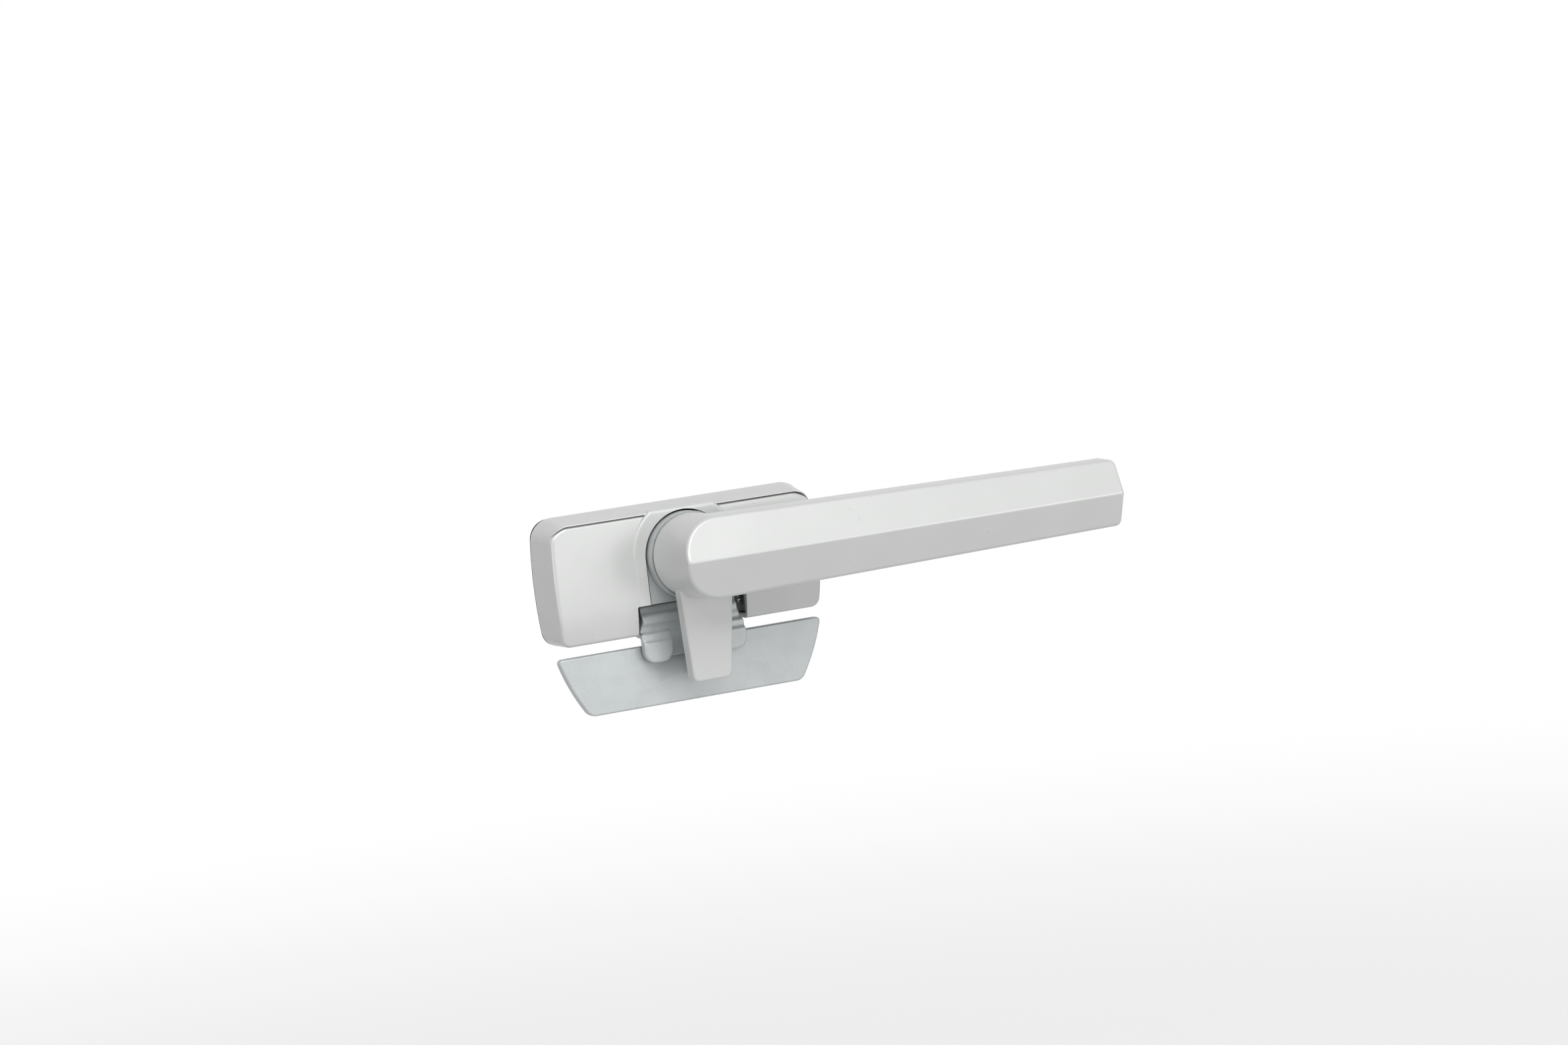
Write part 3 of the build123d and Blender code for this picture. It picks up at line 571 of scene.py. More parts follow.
def shade(colour: Point, share: float) -> tuple[float, float, float, float]:
    """Returns a colour made lighter or darker by a share, with full alpha."""
    return (colour[0] * share, colour[1] * share, colour[2] * share, 1.0)


@dataclass(frozen=True)
class Effect:
    """A shared shader effect, one node group; the last value is the scale of its own noise."""

    name: str
    values: Labelled
    results: tuple[str, ...] = ("Mask",)
    detail: float = 1.0
    span: Span = NOISE_SPAN
    result: Span = (0.0, 1.0)

    def build(self) -> Tree:
        """Makes the group: its sockets, then the nodes between them."""
        tree = bpy.data.node_groups.new(self.name, "ShaderNodeTree")
        tree.interface.new_socket("Vector", in_out="INPUT", socket_type="NodeSocketVector")
        for label, default in self.values:
            socket = tree.interface.new_socket(label, in_out="INPUT", socket_type="NodeSocketFloat")
            socket.default_value = default
        for label in self.results:
            tree.interface.new_socket(label, in_out="OUTPUT", socket_type="NodeSocketFloat")
        given = tree.nodes.new("NodeGroupInput").outputs
        end = tree.nodes.new("NodeGroupOutput")
        for label, result in zip(self.results, self.compute(tree, given)):
            tree.links.new(result, end.inputs[label])
        return tree

    def own_noise(self, tree: Tree, given: Given) -> Socket:
        """Adds the effect's own noise."""
        return noise(tree, given["Vector"], given[self.values[-1][0]], self.detail)

    def compute(self, tree: Tree, given: Given) -> Sequence[Socket]:
        """Adds the effect's nodes: a mask, broken up by its noise, unless a kind says otherwise.

        Args:
            tree: The group's tree.
            given: Its inputs by label.

        Returns:
            One socket for each result.
        """
        mask = self.mask(tree, given)
        broken = ramp(tree, self.own_noise(tree, given), self.span, self.result)
        return [calculate(tree, "MULTIPLY", mask, broken)]

    def mask(self, tree: Tree, given: Given) -> Socket:
        """Adds the unbroken mask."""
        raise NotImplementedError


@dataclass(frozen=True)
class CastSkin(Effect):
    """The faint mottling and ripple of a cast or moulded skin."""

    blotch_detail: float = 4.0
    grain_share: float = 0.3

    def compute(self, tree: Tree, given: Given) -> Sequence[Socket]:
        """Adds two noises and a height made from both."""
        blotch = noise(tree, given["Vector"], given["Blotch Scale"], self.blotch_detail)
        grain = self.own_noise(tree, given)
        height = calculate(tree, "ADD", blotch, calculate(tree, "MULTIPLY", grain, self.grain_share))
        return blotch, grain, height


class Specks(Effect):
    """Sparse small specks, such as dust, pits or nicks."""

    def mask(self, tree: Tree, given: Given) -> Socket:
        """Adds dots in the middle of cells."""
        cells = add(tree, "ShaderNodeTexVoronoi", Vector=given["Vector"], Scale=given["Scale"])
        return calculate(tree, "LESS_THAN", cells.outputs["Distance"], given["Size"])


@dataclass(frozen=True)
class EdgeRub(Effect):
    """Wear along convex edges."""

    bend_span: Span = (0.53, 0.62)

    def mask(self, tree: Tree, given: Given) -> Socket:
        """Adds the mask of the edges."""
        return ramp(tree, tree.nodes.new("ShaderNodeNewGeometry").outputs["Pointiness"], self.bend_span)


@dataclass(frozen=True)
class PaintedShade(Effect):
    """Painted shade in crevices: the colour darkens where a point is closed in, found by how closed in it
    is.
    """

    samples: int = 6
    open_span: Span = (0.15, 0.9)

    def mask(self, tree: Tree, given: Given) -> Socket:
        """Adds the mask of the crevices, where shade is painted into the colour."""
        closed = add(tree, "ShaderNodeAmbientOcclusion", samples=self.samples, Distance=given["Reach"])
        return ramp(tree, closed.outputs["AO"], self.open_span, (1.0, 0.0))


@dataclass(frozen=True)
class Scratches(Effect):
    """A few thin curved scratches, where a noise passes one level."""

    line_detail: float = 2.0
    line_level: float = 0.5

    def mask(self, tree: Tree, given: Given) -> Socket:
        """Adds the lines."""
        field = noise(tree, given["Vector"], given["Scale"], self.line_detail)
        return calculate(tree, "COMPARE", field, self.line_level, given["Width"])


EFFECTS = (
    CastSkin(
        "cast_skin", (("Blotch Scale", 120.0), ("Grain Scale", 2500.0)), ("Blotch", "Grain", "Height"),
        detail=2.0,
    ),
    Specks("specks", (("Scale", 300.0), ("Size", 0.12), ("Patch Scale", 60.0)), span=(0.56, 0.66)),
    EdgeRub("edge_rub", (("Break Scale", 400.0),), detail=3.0, span=(0.35, 0.65), result=(0.2, 1.0)),
    # Painted shade: darkens the colour in crevices by how closed in a point is.
    PaintedShade("painted_shade", (("Reach", 0.002), ("Break Scale", 500.0)), detail=3.0, result=(0.75, 1.0)),
    Scratches("scratches", (("Scale", 55.0), ("Width", 0.004), ("Patch Scale", 48.0)), span=(0.58, 0.66)),
)


class EffectShelf:
    """Keeps the shared effects, each built once."""

    def __init__(self) -> None:
        """Builds the effects."""
        self.trees = {effect.name: effect.build() for effect in EFFECTS}

    def put(self, tree: Tree, name: str, **values: object) -> Node:
        """Places an effect in a material.

        Args:
            tree: Material's node tree.
            name: Name of the effect.
            values: Its inputs, with underscores for spaces.

        Returns:
            The group node.
        """
        return add(tree, "ShaderNodeGroup", node_tree=self.trees[name], **values)


@dataclass(frozen=True)
class Finish:
    """One surface finish: a plain shader with a mottled tone, roughness and a fine bump."""

    slot: Slot
    colour: Point
    metallic: float
    roughness: float
    blotch_scale: float
    grain_scale: float
    tone_spread: float
    roughness_spread: float
    bump: float
    bump_depth: float = 0.00005
    specks: float = 0.0
    rub: float = 0.0
    scratches: float = 0.0
    # Painted shade: share, reach and tint of the darkening painted into crevices.
    painted_shade: float = 0.5
    painted_shade_reach: float = 0.002
    specular: float = 0.5
    speck_tint: float = 0.45
    scratch_tint: float = 0.6
    painted_shade_tint: float = 0.3
    rub_tint: float = 1.25

    def build(self, shelf: EffectShelf) -> Material:
        """Makes the material.

        Args:
            shelf: The shared effects.

        Returns:
            The new material.
        """
        material = bpy.data.materials.new(self.slot.value)
        material.use_nodes = True
        tree = material.node_tree
        shader = tree.nodes["Principled BSDF"].inputs
        shader["Metallic"].default_value = self.metallic
        shader["Specular IOR Level"].default_value = self.specular
        where = tree.nodes.new("ShaderNodeTexCoord").outputs["Object"]
        scales = {"Blotch_Scale": self.blotch_scale, "Grain_Scale": self.grain_scale}
        skin = shelf.put(tree, "cast_skin", Vector=where, **scales).outputs
        tree.links.new(self.tone(tree, shelf, where, skin), shader["Base Color"])
        low = self.roughness - self.roughness_spread / 2
        gloss = ramp(tree, skin["Grain"], NOISE_SPAN, (low, low + self.roughness_spread))
        tree.links.new(gloss, shader["Roughness"])
        bump = add(
            tree, "ShaderNodeBump", Strength=self.bump, Distance=self.bump_depth, Height=skin["Height"]
        )
        tree.links.new(bump.outputs["Normal"], shader["Normal"])
        return material

    def tone(self, tree: Tree, shelf: EffectShelf, where: Socket, skin: Given) -> Socket:
        """Builds the colour over the surface.

        Args:
            tree: Material's node tree.
            shelf: The shared effects.
            where: Object coordinates.
            skin: Results of the cast skin.

        Returns:
            The colour.
        """
        blotch = ramp(tree, skin["Blotch"], NOISE_SPAN)
        grain = ramp(tree, skin["Grain"], NOISE_SPAN)
        plain = shade(self.colour, 1.0)
        low = blend_colour(tree, grain, shade(self.colour, 1 - self.tone_spread), plain)
        high = blend_colour(tree, grain, plain, shade(self.colour, 1 + self.tone_spread / 2))
        colour = blend_colour(tree, blotch, low, high)
        # Specks, scratches and edge rub are marks of the thing; the crevice mark is painted shade that
        # darkens closed-in places.
        marks = (
            ("specks", self.specks, self.speck_tint, {}),
            ("scratches", self.scratches, self.scratch_tint, {}),
            ("painted_shade", self.painted_shade, self.painted_shade_tint, {"Reach": self.painted_shade_reach}),
            ("edge_rub", self.rub, self.rub_tint, {}),
        )
        for effect, strength, tint, values in marks:
            if strength:
                mark = shelf.put(tree, effect, Vector=where, **values)
                share = calculate(tree, "MULTIPLY", mark.outputs["Mask"], strength)
                colour = blend_colour(tree, share, colour, shade(self.colour, tint))
        return colour


# Columns: slot, colour, metallic, roughness, the scales of blotch and grain, the spreads of
# tone and roughness, and bump.
# The painted shade values darken each finish's colour in crevices, where shade falls.
FINISHES = (
    Finish(
        Slot.SILVER_PAINT, (0.71, 0.72, 0.71), 0.14, 0.30, 90.0, 6000.0, 0.03, 0.05, 0.10,
        bump_depth=0.00003, specks=0.2, rub=0.2, painted_shade=0.25, painted_shade_reach=0.0015, specular=0.35,
    ),
    Finish(
        Slot.BARE_ZINC, (0.57, 0.60, 0.605), 0.30, 0.42, 160.0, 1800.0, 0.08, 0.12, 0.25,
        bump_depth=0.00006, specks=0.35, rub=0.35, scratches=0.2, painted_shade=0.6, painted_shade_reach=0.004,
    ),
    Finish(Slot.PLATED_STEEL, (0.62, 0.63, 0.65), 0.95, 0.30, 200.0, 3000.0, 0.08, 0.10, 0.08),
    Finish(Slot.SEAL, (0.022, 0.022, 0.024), 0.0, 0.75, 300.0, 2500.0, 0.25, 0.1, 0.4, bump_depth=0.0001),
    Finish(Slot.BRONZE, (0.50, 0.35, 0.18), 0.9, 0.42, 250.0, 4000.0, 0.2, 0.15, 0.3, bump_depth=0.00004),
    Finish(Slot.ACETAL, (0.03, 0.03, 0.033), 0.0, 0.38, 150.0, 3500.0, 0.15, 0.08, 0.1),
    Finish(Slot.NYLON, (0.06, 0.06, 0.065), 0.0, 0.5, 200.0, 3000.0, 0.15, 0.1, 0.15),
    Finish(Slot.BLACK_OXIDE, (0.05, 0.05, 0.055), 0.7, 0.4, 250.0, 4000.0, 0.2, 0.1, 0.1),
    Finish(Slot.HARD_STEEL, (0.68, 0.68, 0.70), 1.0, 0.16, 200.0, 5000.0, 0.04, 0.05, 0.03),
    Finish(Slot.SPRING_STEEL, (0.52, 0.52, 0.54), 0.95, 0.28, 300.0, 4000.0, 0.1, 0.1, 0.05),
)


@dataclass
class Part:
    """A piece of the scene that stands for one CAD node."""

    name: str = ""
    rides: Body = Body.ROOT
    slot: Slot = Slot.SILVER_PAINT
    node: str = ""
    sharp_turn: float = SHARP_TURN

    def build(self) -> Piece:
        """Builds the piece in face-on millimetres."""
        raise NotImplementedError

    def settle(self, piece: Piece) -> None:
        """Turns a built piece into the frame and sets its smooth and sharp edges."""
        bm = bmesh.new()
        bm.from_mesh(piece.data)
        bmesh.ops.remove_doubles(bm, verts=bm.verts, dist=SMALL)
        close_skin(bm)
        bm.transform(TO_FRAME)
        for face in bm.faces:
            face.smooth = True
        for edge in bm.edges:
            edge.smooth = edge.calc_face_angle(0.0) < radians(self.sharp_turn)
        pour(bm, piece.data)
        weighted = piece.modifiers.new("normals", "WEIGHTED_NORMAL")
        weighted.keep_sharp = True

    def make(self, finishes: Mapping[str, Material]) -> Piece:
        """Builds and dresses the piece and lets it ride on its body.

        Args:
            finishes: Materials by slot name.

        Returns:
            The finished piece.
        """
        piece = self.build()
        self.settle(piece)
        piece.data.materials.clear()
        piece.data.materials.append(finishes[self.slot.value])
        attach(piece, self.rides.value)
        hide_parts(self.node)
        triangles = sum(len(face.vertices) - 2 for face in piece.data.polygons)
        log.info("%s rides on %s with %d triangles", piece.name, self.rides.value, triangles)
        return piece


@dataclass
class HandleCasting(Part):
    """Neck, roof-shaped lever and tongue, cast in one."""

    name: str = "handle_casting"
    rides: Body = Body.HANDLE
    node: str = "handle"
    neck_radius: float = 11.9
    neck_back: float = 15.0
    root_radius: float = 11.5
    lever_length: float = 127.6
    tip_half_width: float = 9.6
    lever_back: float = 26.6
    edge_depth: float = 33.6
    ridge_depth: float = 38.4
    tip_corner: float = 1.6
    edge_round: float = 0.9
    ridge_round: float = 0.45
    back_round: float = 0.6
    root_round: float = 0.3
    flat_turn: float = 0.4
    rim_turn: float = 25.0
    rim_reach: float = 0.5
    ridge_reach: float = 0.6
    ridge_length: float = 20.0
    tip_reach: float = 2.0
    tongue_top: float = -4.0
    tongue_tip: float = -35.5
    tongue_half_widths: Span = (8.5, 5.9)
    tongue_fronts: Span = (23.2, 20.0)
    tongue_backs: Span = (18.8, 15.4)
    tongue_corner: float = 1.8
    tongue_round: float = 0.7
    tongue_turn: float = 50.0
    bore_radius: float = 2.0
    bore_front: float = 30.5
    socket_side: float = 8.0
    socket_end: float = 26.5
    socket_turn: float = 45.0
    pad_half: float = 3.2
    pad_y: Span = (-33.6, -27.6)
    pad_z: Span = (12.0, 17.2)
    pad_corner: float = 1.2

    def roof(self, y: float) -> float:
        """Returns the depth of the lever's front at a height."""
        fall = (self.ridge_depth - self.edge_depth) / self.root_radius
        return self.ridge_depth - fall * abs(y)

    def lever_and_neck(self) -> BMesh:
        """Builds the lever's bar and the neck behind its round end as one closed skin."""
        bm = bmesh.new()
        bmesh.ops.create_circle(bm, cap_ends=True, radius=self.neck_radius, segments=ROUND_SIDES)
        shift(bm, 0, 0, self.lever_back)
        round_end = list(bm.verts)
        flare = self.neck_radius / self.root_radius
        tip = draw_out(bm, edges_where(bm, lambda mid, e: mid.x > 0))
        bmesh.ops.scale(bm, verts=tip, vec=(0, self.tip_half_width / self.root_radius, 1))
        reach = self.lever_length + self.neck_radius - self.root_radius
        bmesh.ops.translate(bm, verts=tip, vec=(reach, 0, 0))
        slice_at(bm, ORIGIN, UP, SMALL)
        disc = [f for f in bm.faces if all(v in round_end for v in f.verts)]
        for v in raise_faces(bm, bm.faces[:], (0, 0, self.edge_depth - self.lever_back)):
            v.co.y /= flare
            v.co.x = v.co.x / flare if v.co.x < self.root_radius + MARGIN else self.lever_length
            v.co.z = self.roof(v.co.y)
        raise_faces(bm, disc, (0, 0, self.neck_back - self.lever_back))
        merge_flat(bm, self.flat_turn)
        return bm

    def soften_lever(self, bm: BMesh) -> None:
        """Rounds the lever's tip corners, rim, ridge and back edges and the neck's root.

        Args:
            bm: The sharp lever and neck.
        """
        far, side, reach = self.lever_length - MARGIN, self.tip_half_width, self.tip_reach
        front, peak = self.edge_depth - self.rim_reach, self.ridge_depth - self.ridge_reach
        corners = edges_where(
            bm, lambda mid, e: mid.x > far and abs(mid.y) > side - MARGIN and depth_run(e) > reach
        )
        round_off(bm, corners, self.tip_corner, CORNER_ARC)
        rim = edges_where(
            bm, lambda mid, e: mid.z > front
            and (turns(e, self.rim_turn) if abs(mid.y) > SMALL else mid.x > far)
        )
        round_off(bm, rim, self.edge_round, EDGE_ARC)
        ridge = edges_where(
            bm, lambda mid, e: abs(mid.y) < SMALL and mid.z > peak and e.calc_length() > self.ridge_length
        )
        round_off(bm, ridge, self.ridge_round, SMALL_ARC)
        back = edges_where(
            bm, lambda mid, e: on_level(mid, e, self.lever_back) and mid.x > reach
            and (abs(mid.y) > side - reach or mid.x > far)
        )
        round_off(bm, back, self.back_round, SMALL_ARC)
        root = edges_where(bm, lambda mid, e: on_level(mid, e, self.neck_back))
        round_off(bm, root, self.root_round, TINY_ARC)

    def tongue(self) -> BMesh:
        """Builds the leaning, tapering tongue as a closed mesh."""
        bm = bmesh.new()
        wide, narrow = self.tongue_half_widths
        top, tip = self.tongue_top, self.tongue_tip
        face = polygon(bm, ((-wide, top), (wide, top), (narrow, tip), (-narrow, tip)))
        front = raise_faces(bm, [face], (0, 0, MARGIN))
        for v in bm.verts:
            depths = self.tongue_fronts if v in front else self.tongue_backs
            v.co.z = depths[0] if v.co.y > tip + MARGIN else depths[1]
        close_skin(bm)
        upright = edges_where(bm, lambda mid, e: mid.y < tip + MARGIN and abs(mid.x) > MARGIN)
        round_off(bm, upright, self.tongue_corner, CORNER_ARC)
        rim = edges_where(bm, lambda mid, e: mid.y < top - MARGIN and turns(e, self.tongue_turn))
        round_off(bm, rim, self.tongue_round, EDGE_ARC)
        return bm

    def build(self) -> Piece:
        """Joins lever and tongue and cuts the socket, the bore and the pad's pocket."""
        lever = self.lever_and_neck()
        self.soften_lever(lever)
        piece = loose_object(self.name, lever)
        combine(piece, self.tongue(), Join.ADD)
        half = self.socket_side / 2
        socket = block((-half, half), (-half, half), (self.neck_back - MARGIN, self.socket_end))
        turn(socket, self.socket_turn, "Z")
        combine(piece, socket, Join.CUT)
        bore = disc_rod(self.bore_radius, (self.socket_end - MARGIN, self.bore_front), HOLE_SIDES)
        combine(piece, bore, Join.CUT)
        pocket = block((-self.pad_half, self.pad_half), self.pad_y, self.pad_z)
        upright = edges_where(pocket, lambda mid, e: depth_run(e) > MARGIN)
        round_off(pocket, upright, self.pad_corner, EDGE_ARC)
        combine(piece, pocket, Join.CUT)
        return piece


@dataclass
class CoverShell(Part):
    """Tapered shell: crowned panel behind a grooved lip, a raised arch band and its openings."""

    name: str = "cover_shell"
    node: str = "cover"
    half_length: float = 41.0
    top: float = 13.2
    bottom: float = -21.0
    back: float = 0.8
    depth: float = 11.5
    flare: float = 1.9
    wall: float = 1.4
    end_bow: float = 1.1
    end_length: float = 10.0
    top_corner: float = 4.5
    top_spread: float = 0.75
    low_corner: float = 2.2
    low_spread: float = 1.2
    shoulder_drop: float = 0.3
    lip_front: float = 11.15
    lip_width: float = 0.3
    groove_width: float = 0.36
    groove_floor: float = 9.95
    crease_fade: float = 4.4
    crease_full: float = 0.95
    panel_front: float = 11.9
    panel_round: float = 0.9
    crown: float = 0.75
    crown_middle: float = -6.0
    crown_reach: float = 17.0
    crown_blend: float = 0.8
    crown_step: float = 2.1
    crown_steps: tuple[int, int] = (-9, 9)
    low_turn: float = 1.15
    low_turn_from: float = -11.0
    band_radius: float = 16.9
    band_front: float = 11.95
    band_sink: float = 0.07
    band_overhang: float = 0.5
    band_round: float = 1.0
    band_turn: float = 30.0
    flat_turn: float = 0.5
    opening_radius: float = 12.9
    ceiling_gap: float = 0.4
    cutout_top: float = -12.6
    cutout_round: float = 0.6
    cut_edge: float = 0.12
    cut_turn: float = 50.0

    def outline(self, z: float, inset: float = 0.0) -> BMesh:
        """Draws the base's outline as one face.

        Args:
            z: Its depth, which gives how far the ends and the top flare out.
            inset: How far it is offset inwards.

        Returns:
            A mesh with the one face.
        """
        bm = bmesh.new()
        flare = self.flare * (self.depth - z) / (self.depth - self.back)
        half = self.half_length - self.end_bow - inset + flare
        top = self.top - inset + flare
        bottom = self.bottom + inset
        polygon(bm, ((-half, bottom), (half, bottom), (half, top), (-half, top)), z)
        low_round = self.low_corner + self.low_spread * flare - inset / 2
        top_round = self.top_corner + self.top_spread * flare - inset / 2
        round_off(bm, [v for v in bm.verts if v.co.y < 0], low_round, WIDE_ARC, "VERTICES")
        round_off(bm, [v for v in bm.verts if v.co.y > top - SMALL], top_round, TOP_ARC, "VERTICES")
        ends = edges_where(
            bm, lambda mid, e: abs(mid.x) > half - SMALL and e.calc_length() > self.end_length
        )
        bow_ends(bm, ends, (bottom, top), half - low_round, self.end_bow)
        return bm

    def fall(self, y: float) -> float:
        """Returns how far the crowned front lies behind its crest at a height."""
        low = max(0.0, self.low_turn_from - y) / (self.low_turn_from - self.bottom)
        return self.crown * ((y - self.crown_middle) / self.crown_reach) ** 2 + self.low_turn * low ** 2

    def crease_share(self, corner: Vector) -> float:
        """Returns how strongly the crease shows: 1 along the top, 0 past the corners."""
        rise = (corner.y - self.top + self.crease_fade) / (self.crease_fade * self.crease_full)
        share = min(max(rise, 0.0), 1.0)
        return share * share * (3 - 2 * share)

    def ring(self, z: float, inset: float = 0.0) -> list[Vector]:
        """Returns the outline's corners at a depth and an inset, always in the same order."""
        bm = self.outline(z, inset)
        corners = [v.co.copy() for v in bm.verts]
        bm.free()
        return corners

    def step_ring(self, depth: float, inset: float) -> list[Vector]:
        """Places the corners of one step of the lip, the crease or the panel.

        Args:
            depth: Depth of the step along the top.
            inset: How far it is offset inwards there.

        Returns:
            The corners, blended round the ends into the plain shoulder.
        """
        low, high = self.ring(self.back), self.ring(self.depth)
        inner_low, inner_high = self.ring(self.back, inset), self.ring(self.depth, inset)
        placed = []
        for i, corner in enumerate(high):
            share = self.crease_share(corner)
            plain = self.panel_front - self.panel_round - self.fall(corner.y) - self.shoulder_drop
            if depth == self.panel_front:
                plain = depth
            rise = (plain + (depth - plain) * share - self.back) / (self.depth - self.back)
            outer = low[i].lerp(corner, rise)
            placed.append(outer.lerp(inner_low[i].lerp(inner_high[i], rise), share))
        return placed

    def body(self) -> BMesh:
        """Builds the solid body: walls, lip and crease along the top, and the crowned panel."""
        lip = self.lip_front + self.fall(self.top)
        gap = self.lip_width + self.groove_width
        steps = (
            (lip, 0.0), (lip, self.lip_width), (self.groove_floor, self.lip_width),
            (self.groove_floor, gap), (self.panel_front, gap),
        )
        bm = self.outline(self.back)
        end, present = bm.faces[:], self.ring(self.back)
        for depth, inset in steps:
            target = self.step_ring(depth, inset)
            moved = raise_faces(bm, end, ORIGIN)
            for v in moved:
                nearest = min(range(len(present)), key=lambda i: (present[i] - v.co).length)
                v.co = target[nearest]
            end = [f for f in bm.faces if all(v in moved for v in f.verts)]
            present = target
        bmesh.ops.remove_doubles(bm, verts=bm.verts, dist=WELD)
        close_skin(bm)
        rim = edges_where(bm, lambda mid, e: abs(mid.z - self.panel_front) < SMALL)
        round_off(bm, rim, self.panel_round, CORNER_ARC)
        for step in range(*self.crown_steps):
            slice_at(bm, (0, self.crown_middle + self.crown_step * step, 0), UP)
        for v in bm.verts:
            share = min(max((v.co.z - self.groove_floor) / self.crown_blend, 0.0), 1.0)
            v.co.z -= self.fall(v.co.y) * share
        return bm

    def band(self) -> BMesh:
        """Builds the arch band, trimmed along the cover's top slope, as a closed mesh."""
        bm = bmesh.new()
        bmesh.ops.create_circle(bm, cap_ends=True, radius=self.band_radius, segments=ROUND_SIDES)
        foot = self.groove_floor - self.band_sink
        shift(bm, 0, 0, foot)
        slice_at(bm, ORIGIN, (0, -1, 0), SMALL, drop=True)
        low = draw_out(bm, edges_where(bm, lambda mid, e: abs(mid.y) < SMALL))
        bmesh.ops.translate(bm, verts=low, vec=(0, self.cutout_top, 0))
        raise_faces(bm, bm.faces[:], (0, 0, self.band_front - foot))
        slope = self.flare / (self.depth - self.back)
        slice_at(bm, (0, self.top + self.band_overhang, self.depth), (0, 1, slope), drop=True)
        bmesh.ops.holes_fill(bm, edges=[e for e in bm.edges if e.is_boundary], sides=0)
        bmesh.ops.remove_doubles(bm, verts=bm.verts, dist=WELD)
        merge_flat(bm, self.flat_turn)
        rim = edges_where(
            bm, lambda mid, e: abs(mid.z - self.band_front) < SMALL
            and mid.y > self.cutout_top + SMALL and turns(e, self.band_turn)
        )
        round_off(bm, rim, self.band_round, CORNER_ARC)
        return bm

    def build(self) -> Piece:
        """Joins panel and band, hollows them and cuts the openings."""
        behind = self.back - MARGIN
        through = (behind, self.band_front + MARGIN)
        ceiling = self.groove_floor - self.ceiling_gap
        piece = loose_object(self.name, self.body())
        combine(piece, self.band(), Join.ADD)
        hollow = loft(self.outline(behind, self.wall), self.outline(ceiling, self.wall))
        combine(piece, hollow, Join.CUT)
        combine(piece, disc_rod(self.opening_radius, through), Join.CUT)
        slot = (-self.opening_radius, self.opening_radius)
        combine(piece, block(slot, (self.cutout_top - MARGIN, 0), through), Join.CUT)
        side = self.band_radius
        bay = block((-side, side), (self.bottom - MARGIN, self.cutout_top), through)
        upper = edges_where(
            bay, lambda mid, e: mid.y > self.cutout_top - SMALL and abs(mid.x) > side - SMALL
        )
        round_off(bay, upper, self.cutout_round, EDGE_ARC)
        combine(piece, bay, Join.CUT)
        edges = piece.modifiers.new("cut edges", "BEVEL")
        edges.width = self.cut_edge
        edges.segments = TINY_ARC
        edges.limit_method = "ANGLE"
        edges.angle_limit = radians(self.cut_turn)
        edges.miter_outer = "MITER_ARC"
        bake_modifiers(piece)
        return piece


@dataclass
class KeeperPlate(Part):
    """Trapezoid keeper with soft edges, two lips behind and the strike rib."""

    name: str = "keeper_plate"
    slot: Slot = Slot.BARE_ZINC
    node: str = "keeper"
    top: float = -24.3
    bottom: float = -41.6
    top_half: float = 41.1
    bottom_half: float = 33.2
    side_bow: float = 0.9
    side_lengths: Span = (8.0, 30.0)
    front: float = 7.7
    back: float = 5.3
    corner: float = 1.6
    edge: float = 0.55
    back_edge: float = 0.25
    sink: float = 0.5
    lip_half: float = 29.0
    lip_back: float = 1.0
    upper_lip: Span = (-27.7, -25.9)
    lower_lip: Span = (-40.0, -36.7)
    grub_x: float = 10.0
    grub_radius: float = 1.5
    grub_depth: float = 3.15
    grub_length: float = 8.0
    grub_start: float = 2.0
    strike_x: Span = (-2.3, 2.3)
    strike_y: Span = (-34.4, -28.6)
    strike_front: float = 12.0
    strike_round: float = 0.5

    def plate(self) -> BMesh:
        """Builds the plate with bowed sides as a closed mesh."""
        bm = bmesh.new()
        low, high = (self.bottom_half, self.bottom), (self.top_half, self.top)
        face = polygon(bm, ((-low[0], low[1]), low, high, (-high[0], high[1])), self.back)
        round_off(bm, face.verts, self.corner, CORNER_ARC, "VERTICES")
        shortest, longest = self.side_lengths
        sides = edges_where(
            bm, lambda mid, e: abs(mid.x) > low[0] and shortest < e.calc_length() < longest
        )
        bow_ends(bm, sides, (self.bottom, self.top), low[0] - self.corner, self.side_bow)
        raise_faces(bm, bm.faces[:], (0, 0, self.front - self.back))
        close_skin(bm)
        for z, radius, arc in ((self.front, self.edge, EDGE_ARC), (self.back, self.back_edge, TINY_ARC)):
            round_off(bm, edges_where(bm, lambda mid, e: on_level(mid, e, z)), radius, arc)
        return bm

    def build(self) -> Piece:
        """Joins plate, lips and strike rib and drills the grub holes."""
        inside = self.back + self.sink
        piece = loose_object(self.name, self.plate())
        for span in (self.upper_lip, self.lower_lip):
            combine(piece, block((-self.lip_half, self.lip_half), span, (self.lip_back, inside)), Join.ADD)
        strike = block(self.strike_x, self.strike_y, (inside, self.strike_front), self.strike_round)
        combine(piece, strike, Join.ADD)
        for x in (-self.grub_x, self.grub_x):
            hole = disc_rod(self.grub_radius, (0, self.grub_length), HOLE_SIDES)
            turn(hole, -90, "X")
            shift(hole, x, self.lower_lip[0] - self.grub_start, self.grub_depth)
            combine(piece, hole, Join.CUT)
        return piece


